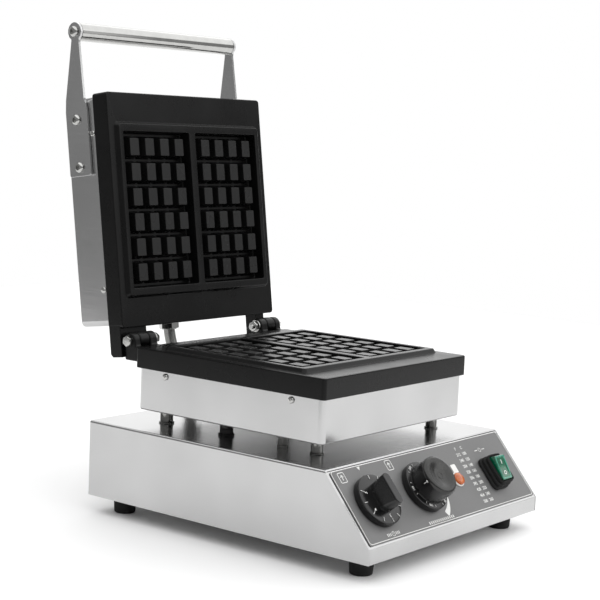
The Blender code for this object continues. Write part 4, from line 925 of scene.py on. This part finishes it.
def make_rocker():
    """Rocker of the switch: a deep green body, a rim round its window painted paler as a glow, two
    signs.
    """
    place = Matrix.Translation(JOINTS["rocker_tilt"]["pos_m"]) @ TILT
    at = place @ Matrix.Rotation(ROCKER_TILT, 4, "X")
    reach, tip = ROCKER_LENGTH / 2, 21.0
    face = math.sin(math.radians(tip)) * reach
    half_long = (reach - 0.0002) * math.cos(math.radians(tip))
    section = arc((0, 0), reach - 0.0002, -tip, tip, 6)
    for k in range(1, 12):
        t = k / 12
        section.append((half_long * (1 - 2 * t), face - 0.0010 * math.sin(math.pi * t)))
    section += arc((0, 0), reach - 0.0002, 180 - tip, 180 + tip, 6)
    half = ROCKER_WIDTH / 2 - 0.0008
    body = soften(prism(section, -half, half, "X"), 0.0005, 3, 40)
    piece("rocker_body", body, GREEN, "power_rocker", ["power_rocker"], at)
    rim = bmesh.new()
    loops = []
    for inset, lift in ((0.0003, -0.0008), (0.0003, 0.0000), (0.0006, 0.0003), (0.0017, 0.0003),
                        (0.0020, 0.0000), (0.0020, -0.0008)):
        ring = []
        for x, y in rounded(2 * (half - inset), 2 * (half_long - inset), 0.0016, 4):
            sag = 0.0010 * math.cos(math.pi / 2 * min(1, abs(y) / half_long))
            ring.append(rim.verts.new((x, y, face - sag + lift)))
        loops.append(ring)
    bridge(rim, *loops, loops[0])
    # rim in the paler green: painted glow round the window
    piece("rocker_rim", rim, GREEN_PAINTED_GLOW, "power_rocker", [], at)
    deep = face - 0.0010
    bar = moved(prism(rounded(0.0009, 0.0046, 0.0004, 2), 0, 0.00012),
                at @ Matrix.Translation((0, 0.0056, deep + 0.00045)))
    ring = moved(turned([(0.0013, 0), (0.0020, 0), (0.0020, 0.00012), (0.0013, 0.00012)], 32),
                 at @ Matrix.Translation((0, -0.0056, deep + 0.00045)))
    piece("rocker_signs", joined(bar, ring), WHITE_INK, "power_rocker")


def stroke(points, width):
    """A flat line of even width through open points, drawn just above a face."""
    bm = bmesh.new()
    left, right = [], []
    for k, point in enumerate(points):
        before = Vector(points[max(k - 1, 0)])
        after = Vector(points[min(k + 1, len(points) - 1)])
        way = (after - before).normalized()
        side = Vector((-way.y, way.x)) * width / 2
        left.append(bm.verts.new((*(Vector(point) + side), 0)))
        right.append(bm.verts.new((*(Vector(point) - side), 0)))
    for k in range(len(points) - 1):
        bm.faces.new((left[k], right[k], right[k + 1], left[k + 1]))
    return thickened(bm)


def thickened(bm, depth=0.00006):
    """Give a flat print its thickness."""
    result = bmesh.ops.extrude_face_region(bm, geom=list(bm.faces))["geom"]
    lifted = [v for v in result if isinstance(v, bmesh.types.BMVert)]
    bmesh.ops.translate(bm, verts=lifted, vec=(0, 0, depth))
    return bm


def upright(x, low, high, width):
    """A stroke straight up the panel."""
    return stroke([(x, low), (x, high)], width)


def closed(points, width=0.0005):
    """A stroke round an outline."""
    return stroke(points + points[:2], width)


def crescent():
    """Mark that widens along the dial of the thermostat."""
    inner, outer = [], []
    steps = 16
    for k in range(steps + 1):
        share = k / steps
        angle = math.radians(CRESCENT_START + CRESCENT_SWEEP * share)
        half = (0.0002 + 0.0030 * share ** 0.8) * (0.75 if k == steps else 1)
        for side, reach in ((inner, CRESCENT_RADIUS - half), (outer, CRESCENT_RADIUS + half)):
            side.append((THERMO_X + reach * math.cos(angle), THERMO_S + reach * math.sin(angle)))
    return thickened(loft_flat(inner + outer[::-1]))


def make_print():
    """White print on the panel film: border, arrow, pictograms and bars in place of words; and a
    painted glare above the lamp.
    """
    shapes = [closed(rounded(0.2760, 0.0728, 0.0030, 8, (0, 0.0399)), 0.0006),
              thickened(loft_flat([(-0.1005, 0.0752), (-0.0959, 0.0752), (-0.0982, 0.0716)])),
              crescent()]
    for x, y in FRAMED_ARROWS:
        shapes += [closed(rounded(0.0085, 0.0098, 0.0012, 3, (x, y)), 0.0007),
                   upright(x, y - 0.0027, y + 0.0026, 0.0009),
                   stroke([(x - 0.0020, y + 0.0004), (x, y + 0.0027), (x + 0.0020, y + 0.0004)],
                          0.0007)]
    x, y = CLOCK_SIGN
    shapes += [closed(arc((x, y), 0.0021, 0, 345, 23)), upright(x, y, y + 0.0015, 0.0004),
               stroke([(x, y), (x + 0.0011, y - 0.0004)], 0.0004)]
    for k in range(3):
        for sign in (-1, 1):
            reach = sign * (0.0042 + 0.0022 * k)
            shapes.append(upright(x + reach, y - 0.0014, y + 0.0014, 0.0010))
    x, y = POWER_SIGN
    shapes += [stroke(arc((x, y), 0.0020, 125, 415, 22), 0.0005),
               upright(x, y + 0.0002, y + 0.0026, 0.0005),
               stroke([(x - 0.0090, y), (x - 0.0040, y)], 0.0008),
               stroke([(x + 0.0040, y), (x + 0.0090, y)], 0.0008)]
    for k in range(14):
        shapes.append(upright(-0.0440 + 0.0030 * k, 0.0048, 0.0076, 0.0013))
    at = on_slope(0, 0, PRINT_LIFT)
    piece("panel_print", joined(*shapes), WHITE_INK, "base", [], at)
    # white patch just above the lamp: painted glare on its bezel, in the white of the print
    glare_patch = thickened(loft_flat(rounded(0.0080, 0.0090, 0.0008, 4, (LAMP_X + 0.0045, 0.0500))))
    piece("panel_patch", glare_patch, WHITE_INK, "base", [], at)
    make_table()


def make_table():
    """Table of temperatures, one column in degrees Fahrenheit and one in Celsius."""
    texts = []
    for sign, column, unit, zero in (("F", 0.0563, 1.8, 32), ("C", 0.0665, 1.0, 0)):
        texts.append((sign, 0.0030, on_slope(column, 0.0687, PRINT_LIFT)))
        for k in range(9):
            number = round((100 + 20 * k) * unit) + zero
            place = on_slope(column, TABLE_TOP - TABLE_STEP * k, PRINT_LIFT)
            texts.append((str(number), 0.0032, place))
    lettering("panel_numbers", texts, WHITE_INK, "base")


def loft_flat(points):
    """One flat face through points."""
    bm = bmesh.new()
    bm.faces.new([bm.verts.new((x, y, 0)) for x, y in points])
    return bm


# ================================================================ cooking unit
def plate_block(side):
    """Casting of a plate without its teeth; side is -1 below the hinge axis and +1 above."""
    middle = (0, PLATE_MID)
    face, back, rim = side * FACE_LIFT, side * PLATE_OUTER, side * RIM_TOP
    floor = side * (RIM_TOP + MOULD_DEPTH)
    soft = 0.0014
    bm = bmesh.new()

    def rings_of(width, depth, centre, table):
        """Rings about one size, from (how much larger, corner radius, height)."""
        return [[bm.verts.new((x, y, z)) for x, y in rounded(width + more, depth + more, radius,
                                                             6, centre)]
                for more, radius, z in table]

    rings = rings_of(PLATE_WIDTH, PLATE_DEPTH, middle, [
        (-0.001, PLATE_CORNER - 0.0005, back),
        (0, PLATE_CORNER, back - side * 0.0005),
        (0, PLATE_CORNER, face + side * soft),
        (-soft * 0.6, PLATE_CORNER - soft * 0.3, face + side * soft * 0.3),
        (-soft * 2, PLATE_CORNER - soft, face)])
    rings += rings_of(RIM_WIDTH, RIM_DEPTH, middle, [
        (2 * RIM_SLOPE + 0.0008, 0.0045, face),
        (2 * RIM_SLOPE - 0.0004, 0.0042, face - side * 0.0005),
        (0.0010, 0.0032, rim + side * 0.0008),
        (0.0002, 0.0030, rim + side * 0.0002),
        (-0.0008, 0.0026, rim)])
    bm.faces.new(rings[0])
    bridge(bm, *rings)
    edges = loop_edges(bm, rings[-1])
    for x_sign in (-1, 1):
        centre = (x_sign * (CENTRE_RIB + MOULD_WIDTH) / 2, PLATE_MID)
        walls = rings_of(MOULD_WIDTH, MOULD_LENGTH, centre, [
            (0.0012, 0.0026, rim),
            (0.0002, 0.0022, rim + side * 0.0003),
            (-0.0002, 0.0021, rim + side * 0.0010),
            (-2 * MOULD_DRAFT + 0.0006, 0.0020, floor - side * 0.0008),
            (-2 * MOULD_DRAFT - 0.0010, 0.0014, floor)])
        bridge(bm, *walls)
        bm.faces.new(walls[-1])
        edges += loop_edges(bm, walls[0])
    bmesh.ops.triangle_fill(bm, use_beauty=True, edges=edges)
    return bm


def loop_edges(bm, ring):
    """Edges of a ring of points."""
    edges = []
    for k, vert in enumerate(ring):
        edge = bm.edges.get((vert, ring[(k + 1) % len(ring)]))
        edges.append(edge or bm.edges.new((vert, ring[(k + 1) % len(ring)])))
    return edges


def tooth():
    """One waffle tooth standing on Z = 0: a blunt pyramid with a soft crown."""
    foot_x, foot_y = PITCH_ACROSS - TOOTH_GROOVE, PITCH_ALONG - TOOTH_GROOVE
    top_x, top_y = foot_x - 2 * TOOTH_SLOPE_ACROSS, foot_y - 2 * TOOTH_SLOPE_ALONG
    high = TOOTH_HEIGHT
    return loft([(rounded(foot_x + 0.0006, foot_y + 0.0006, 0.0012, 2), -0.0002),
                 (rounded(foot_x - 0.0006, foot_y - 0.0006, 0.0011, 2), 0.0008),
                 (rounded(top_x + 0.0003, top_y + 0.0003, 0.0008, 2), high - 0.0007),
                 (rounded(top_x - 0.0001, top_y - 0.0001, 0.0007, 2), high - 0.0001),
                 (rounded(top_x - 0.0006, top_y - 0.0006, 0.0005, 2), high)])


def make_teeth(name, side, at, body):
    """Rows of teeth on the floors of both moulds of one plate."""
    floor = RIM_TOP + MOULD_DEPTH
    one = as_mesh("tooth", tooth())
    # crown points carry the painted sheen of the coat's material
    crown_sheen = one.attributes.new("crown", "FLOAT", "POINT")
    for vert, share in zip(one.vertices, crown_sheen.data):
        share.value = float(vert.co.z > TOOTH_HEIGHT - 0.0003)
    mesh = grown(TEETH, one, {
        "Across": TEETH_ACROSS, "Along": TEETH_ALONG,
        "Pitch Across": PITCH_ACROSS, "Pitch Along": PITCH_ALONG,
        "Mould Spacing": CENTRE_RIB + MOULD_WIDTH, "Material": COATED[0]})
    turn = Matrix.Identity(4) if side < 0 else Matrix.Rotation(math.pi, 4, "Y")
    mesh.transform(at @ Matrix.Translation((0, PLATE_MID, side * floor)) @ turn)
    to_piece(name, mesh, COATED, body)


def ear_outline():
    """Side view of a lower ear: knuckle on top, rear face leaning as the open lid does."""
    lean = math.degrees(OPEN_ANGLE) - 90
    r, low = KNUCKLE_RADIUS, -EAR_DROP
    rear = r / math.cos(math.radians(lean)) + low * math.tan(math.radians(lean))
    front = -PLATE_TO_AXIS - 0.003
    points = [(front, low), (rear, low)] + arc((0, 0), r, -lean, 170, 20)
    return points + [(-r - 0.001, -FACE_LIFT - 0.0002), (front, -FACE_LIFT - 0.0002)]


def lug_outline():
    """Side view of a lid lug, the block behind a knuckle."""
    low, high = KNUCKLE_RADIUS + GAP, PLATE_OUTER - 0.0004
    return [(-PLATE_TO_AXIS - 0.003, low), (LUG_REACH, low), (LUG_REACH, high - 0.003),
            (LUG_REACH - 0.003, high), (-PLATE_TO_AXIS - 0.003, high)]


def knuckle_outline():
    """Side view of a lid knuckle and the web behind it."""
    r = KNUCKLE_RADIUS
    return arc((0, 0), r, 180, 360, 20) + [(r, r + 0.004), (-r, r + 0.004)]


def make_lower_plate():
    shapes = [plate_block(-1)]
    for x_sign in (-1, 1):
        for start, end in ((MIDDLE_OUTER + GAP, HINGE_OUTER), (HINGE_INNER, MIDDLE_INNER - GAP)):
            low, high = sorted((x_sign * start, x_sign * end))
            shapes.append(soften(prism(ear_outline(), low, high, "X"), 0.0016, 3, 50))
    piece("lower_plate_casting", joined(*shapes), COATED, "base", ["lower_plate"], SHUT)
    make_teeth("lower_plate_teeth", -1, SHUT, "base")


def make_upper_plate():
    shapes = [plate_block(1)]
    lugs = ((-PLATE_WIDTH / 2 + 0.0001, -HINGE_INNER + 0.0020), (MIDDLE_INNER, MIDDLE_OUTER))
    for low, high in lugs:
        shapes.append(soften(prism(lug_outline(), low, high, "X"), 0.0006, 3, 50))
    for x_sign in (-1, 1):
        low, high = sorted((x_sign * MIDDLE_INNER, x_sign * MIDDLE_OUTER))
        shapes.append(soften(prism(knuckle_outline(), low, high, "X"), 0.0016, 3, 50))
    piece("upper_plate_casting", joined(*shapes), COATED, "lid", ["upper_plate"], OPEN)
    make_teeth("upper_plate_teeth", 1, OPEN, "lid")


def housing_tray(side):
    """Open sheet tray behind a plate, with round corners and a small fold at its floor."""
    near = side * (PLATE_OUTER + GAP)
    far = side * (PLATE_OUTER + HOUSING_HEIGHT)
    fold = 0.0016
    bm = bmesh.new()

    def ring(inset, z):
        outline = rounded(HOUSING_WIDTH - 2 * inset, HOUSING_DEPTH - 2 * inset,
                          HOUSING_CORNER - inset, 10, (0, PLATE_MID))
        return [bm.verts.new((x, y, z)) for x, y in outline]

    def fold_rings(radius, inset):
        steps = 5
        rings = []
        for k in range(steps + 1):
            a = math.pi / 2 * k / steps
            rings.append(ring(inset + radius * (1 - math.cos(a)),
                              far - side * (fold - radius * math.sin(a))))
        return rings

    outer = [ring(0, near)] + fold_rings(fold, 0)
    inner = [ring(SHEET, near)] + fold_rings(fold - SHEET, SHEET)
    for skin in (outer, inner):
        bridge(bm, *skin)
        bm.faces.new(skin[-1])
    bridge(bm, outer[0], inner[0])
    return bm


def make_housings():
    piece("lower_housing_tray", housing_tray(-1), STEEL, "base", ["lower_housing"], SHUT)
    piece("upper_housing_tray", housing_tray(1), STEEL, "lid", ["upper_housing"], OPEN)


# ================================================================ fasteners
def pan_screw():
    """Pan-head screw with a small round recess in its crown."""
    r, h = 0.0032, 0.0018
    return turned([(0, -0.002), (0.0015, -0.002), (0.0015, GAP), (r - 0.0001, GAP), (r, 0.0005),
                   (r, GAP + h * 0.45), (r * 0.86, GAP + h * 0.80), (r * 0.55, GAP + h * 0.97),
                   (r * 0.30, GAP + h), (r * 0.18, GAP + h * 0.62), (0, GAP + h * 0.55)], 20)


def socket_screw():
    """Button-head screw: round outside, with a six-sided hole sunk in its crown."""
    r, h, socket = 0.0054, 0.0032, 0.0023
    rings = []
    for radius, lift in ((r - 0.0002, 0), (r, 0.0002), (r, h * 0.28), (r * 0.95, h * 0.52),
                         (r * 0.82, h * 0.78), (r * 0.66, h * 0.95), (r * 0.56, h)):
        rings.append((arc((0, 0), radius, 0, 350, 35), GAP + lift))
    for radius, lift in ((socket + 0.0002, h), (socket, h - 0.0003), (socket, h * 0.30)):
        rings.append((hexagon_ring(radius), GAP + lift))
    return loft(rings)


def make_screws():
    """Small screws of both housings, and the socket screws of the handle."""
    wall = HOUSING_WIDTH / 2
    spread = PLATE_DEPTH / 3
    for prefix, side, at, body in (("lower", -1, SHUT, "base"), ("upper", 1, OPEN, "lid")):
        lift = side * (PLATE_OUTER + 0.0048)
        places, nodes = [], []
        for end, y in (("front", PLATE_MID - spread), ("rear", PLATE_MID + spread)):
            for hand, sign in (("left", -1), ("right", 1)):
                way = at.to_3x3() @ Vector((sign, 0, 0))
                places.append((at @ Vector((sign * wall, y, lift)), way))
                nodes.append(f"{prefix}_housing_screw_{end}_{hand}")
        fasteners(prefix + "_housing_screws", pan_screw(), places, BRIGHT, body, nodes)
    face = wall + GAP + ARM_THICKNESS
    places, nodes = [], []
    for hand, sign in (("left", -1), ("right", 1)):
        way = Vector((sign, 0, 0))
        for end, reach in zip(("lower", "upper"), ARM_SCREW_REACHES):
            places.append((OPEN @ Vector((sign * face, -reach, ARM_LIFT)), way))
            nodes.append(f"arm_screw_{end}_{hand}")
        places.append((OPEN @ Vector((sign * face, -TUBE_REACH, TUBE_LIFT)), way))
        nodes.append("handle_end_screw_" + hand)
    fasteners("handle_screws", socket_screw(), places, BRIGHT, "lid", nodes)


def hex_head(low, high, radius, crown):
    """Six-sided head between two heights, its crown turned to a cone."""
    return loft([(hexagon_ring(radius), low), (hexagon_ring(radius), high - crown),
                 (hexagon_ring(radius, 0.93), high - crown * 0.35),
                 (hexagon_ring(radius, 0.80), high)])


def hexagon_ring(radius, share=1.0, sides=36):
    """Outline of a hexagon, cut to a circle that is a share of its corners' radius."""
    points = []
    sector = math.pi / 3
    for k in range(sides):
        a = 2 * math.pi * k / sides
        reach = radius * math.cos(sector / 2) / math.cos((a % sector) - sector / 2)
        reach = min(reach, radius * share)
        points.append((reach * math.cos(a), reach * math.sin(a)))
    return points


def make_hinge_bolts():
    """Hexagon bolt through each hinge, its nut and washer on the inner side."""
    for sign, hand in ((-1, "left"), (1, "right")):
        at = SHUT @ pointing("+X" if sign > 0 else "-X")
        outer, inner = HINGE_OUTER + GAP, HINGE_INNER - GAP
        head = hex_head(outer, outer + HEX_HEIGHT, HEX_RADIUS, 0.0012)
        pin = turned([(0, inner - 0.0085), (PIN_RADIUS - 0.0006, inner - 0.0085),
                      (PIN_RADIUS, inner - 0.0079), (PIN_RADIUS, outer), (0, outer)], 32)
        piece("hinge_bolt_turned_" + hand, joined(head, pin), BRIGHT, "base",
              ["hinge_bolt_" + hand], at)
        nut = hex_head(-(inner - 0.0014), -(inner - 0.0062), HEX_RADIUS, 0.0008)
        flip = Matrix.Rotation(math.pi, 4, "X")
        washer = turned([(PIN_RADIUS, inner - 0.0016), (0.0064, inner - 0.0016),
                         (0.0066, inner - 0.0013), (0.0066, inner - 0.0003), (0.0064, inner),
                         (PIN_RADIUS, inner)], 40)
        piece("hinge_nut_turned_" + hand, joined(moved(nut, flip), washer), BRIGHT, "base",
              ["hinge_nut_" + hand], at)


# ================================================================ handle and hose
def make_handle():
    """Polished tube between two flat arms."""
    r, half = TUBE_RADIUS, TUBE_HALF
    profile = [(0, -half), (r - 0.0010, -half), (r - 0.0003, -half + 0.0003), (r, -half + 0.0010),
               (r, half - 0.0010), (r - 0.0003, half - 0.0003), (r - 0.0010, half), (0, half)]
    at = OPEN @ pointing("+X", (0, -TUBE_REACH, TUBE_LIFT))
    piece("handle_tube_polished", turned(profile, 96), BRIGHT, "lid", ["handle_tube"], at)
    for hand in ("left", "right"):
        refined("handle_arm_" + hand, STEEL, 0.0005, 20)


def gland():
    """Hexagon gland nut with a short collar round the hose, pointing along it."""
    neck = HOSE_RADIUS + 0.0002
    body = hex_head(GAP, NUT_HEIGHT * 0.92, NUT_RADIUS, 0.0006)
    collar = turned([(0, 0.001), (NUT_RADIUS * 0.76, 0.001), (NUT_RADIUS * 0.76, NUT_HEIGHT * 0.97),
                     (NUT_RADIUS * 0.70, NUT_HEIGHT), (neck, NUT_HEIGHT),
                     (neck, NUT_HEIGHT - 0.002), (0, NUT_HEIGHT - 0.002)], 48)
    return joined(body, collar)


def make_hose():
    """Steel conduit from the base to the lid, drawn between its glands with the lid open."""
    base_at = Matrix.Translation(HOSE_START)
    lid_at = OPEN @ pointing("+Y", (HOSE_X, -PLATE_TO_AXIS - HOUSING_INSET, LID_MID))
    piece("hose_gland_lower", gland(), BRIGHT, "base", ["hose_gland_base"], base_at)
    piece("hose_gland_upper", gland(), BRIGHT, "lid", ["hose_gland_lid"], lid_at)
    depth = NUT_HEIGHT - 0.0045
    start = HOSE_START + Vector((0, 0, depth))
    end = HOSE_END + HOSE_END_WAY * depth
    curve = bpy.data.curves.new("hose_path", "CURVE")
    curve.dimensions = "3D"
    spline = curve.splines.new("BEZIER")
    spline.bezier_points.add(1)
    for point, place, reach in (
            (spline.bezier_points[0], start, Vector((0, 0, HOSE_BASE_PULL))),
            (spline.bezier_points[1], end, -HOSE_END_WAY * HOSE_LID_PULL)):
        point.co = place
        point.handle_right = place + reach
        point.handle_left = place - reach
    curve.resolution_u = 48
    # hose in the darker copy of the polished steel: painted shade
    mesh = grown(HOSE, curve, {"Radius": HOSE_RADIUS - 0.0002, "Rib Depth": 0.00012,
                               "Ribs": 90, "Material": POLISHED_PAINTED_SHADE[0]})
    hose = placed("lid_hose_ribbed", mesh)
    mesh.shade_smooth()
    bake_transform(hose)
    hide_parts("lid_hose")


# ================================================================ studio
def make_floor():
    """Plain pale floor, out of sight where the sides of the open lid would mirror it."""
    bm = loft_flat([(-1.0, -1.7), (1.7, -1.7), (1.7, 1.7), (-0.6, 1.7), (-1.0, 0.9)])
    floor = placed("floor", as_mesh("floor", bm))
    mat, _, _ = new_surface("pale_floor", Base_Color=linear("#FCFCFC"), Roughness=0.9)
    floor.data.materials.append(mat)


def make_studio():
    """White surround for the camera, a dimmer one for reflections, overhead and front light.

    The dimmer one is brightest low behind the machine, where the plates and the base mirror it.
    """
    world = bpy.data.worlds.new("white_studio")
    world.use_nodes = True
    tree = world.node_tree
    shade = add(tree, "ShaderNodeLightPath")
    way = add(tree, "ShaderNodeTexCoord").outputs["Generated"]
    behind = add(tree, "ShaderNodeVectorMath", {0: way, 1: (0.78, 0.61, 0.12)},
                 operation="DOT_PRODUCT")
    wall = add(tree, "ShaderNodeMapRange", {
        "Value": behind.outputs["Value"], "From Min": 0.7, "From Max": 1.0,
        "To Min": 0.33, "To Max": 1.35})
    glow = add(tree, "ShaderNodeMapRange", {
        "Value": shade.outputs["Is Camera Ray"], "To Min": wall.outputs[0], "To Max": 1.0})
    sky = tree.nodes["Background"]
    sky.inputs["Color"].default_value = (1, 1, 1, 1)
    tree.links.new(glow.outputs["Result"], sky.inputs["Strength"])
    bpy.context.scene.world = world
    data = bpy.data.lights.new("overhead", "SUN")
    data.energy = 2.8
    data.angle = math.radians(120)
    overhead = placed("overhead", data)
    overhead.rotation_euler = (math.radians(12), math.radians(8), 0)
    data = bpy.data.lights.new("front_box", "AREA")
    data.energy = 4
    data.size = 1.6
    front_box = placed("front_box", data)
    front_box.location = (1.3, -2.2, 0.9)
    way = Vector((0, 0, 0.2)) - front_box.location
    front_box.rotation_euler = way.to_track_quat("-Z", "Y").to_euler()


def make_camera():
    """Camera low on the front left of the machine."""
    data = bpy.data.cameras.new("camera")
    data.sensor_width = 36
    data.lens = CAMERA_LENS
    data.shift_x, data.shift_y = CAMERA_SHIFT
    camera = placed("camera", data)
    azimuth, elevation, roll = (math.radians(angle) for angle in CAMERA_TURN)
    back = Vector((math.sin(azimuth) * math.cos(elevation),
                   -math.cos(azimuth) * math.cos(elevation), math.sin(elevation)))
    right = (-back).cross(Vector((0, 0, 1))).normalized()
    up = right.cross(-back)
    level = Matrix((right, up, back)).transposed()
    turn = level @ Matrix.Rotation(roll, 3, "Z")
    camera.matrix_world = Matrix.Translation(CAMERA_PLACE) @ turn.to_4x4()
    bpy.context.scene.camera = camera


def build():
    make_camera()
    make_base()
    make_feet()
    make_pillars()
    make_conduits()
    make_mains_gland()
    make_inner_pieces()
    make_timer_knob()
    make_temperature_knob()
    make_lamp()
    make_switch()
    make_rocker()
    make_print()
    make_lower_plate()
    make_upper_plate()
    make_housings()
    make_screws()
    make_hinge_bolts()
    make_handle()
    make_hose()
    make_floor()
    make_studio()
    bpy.context.scene.view_settings.view_transform = "Standard"


build()
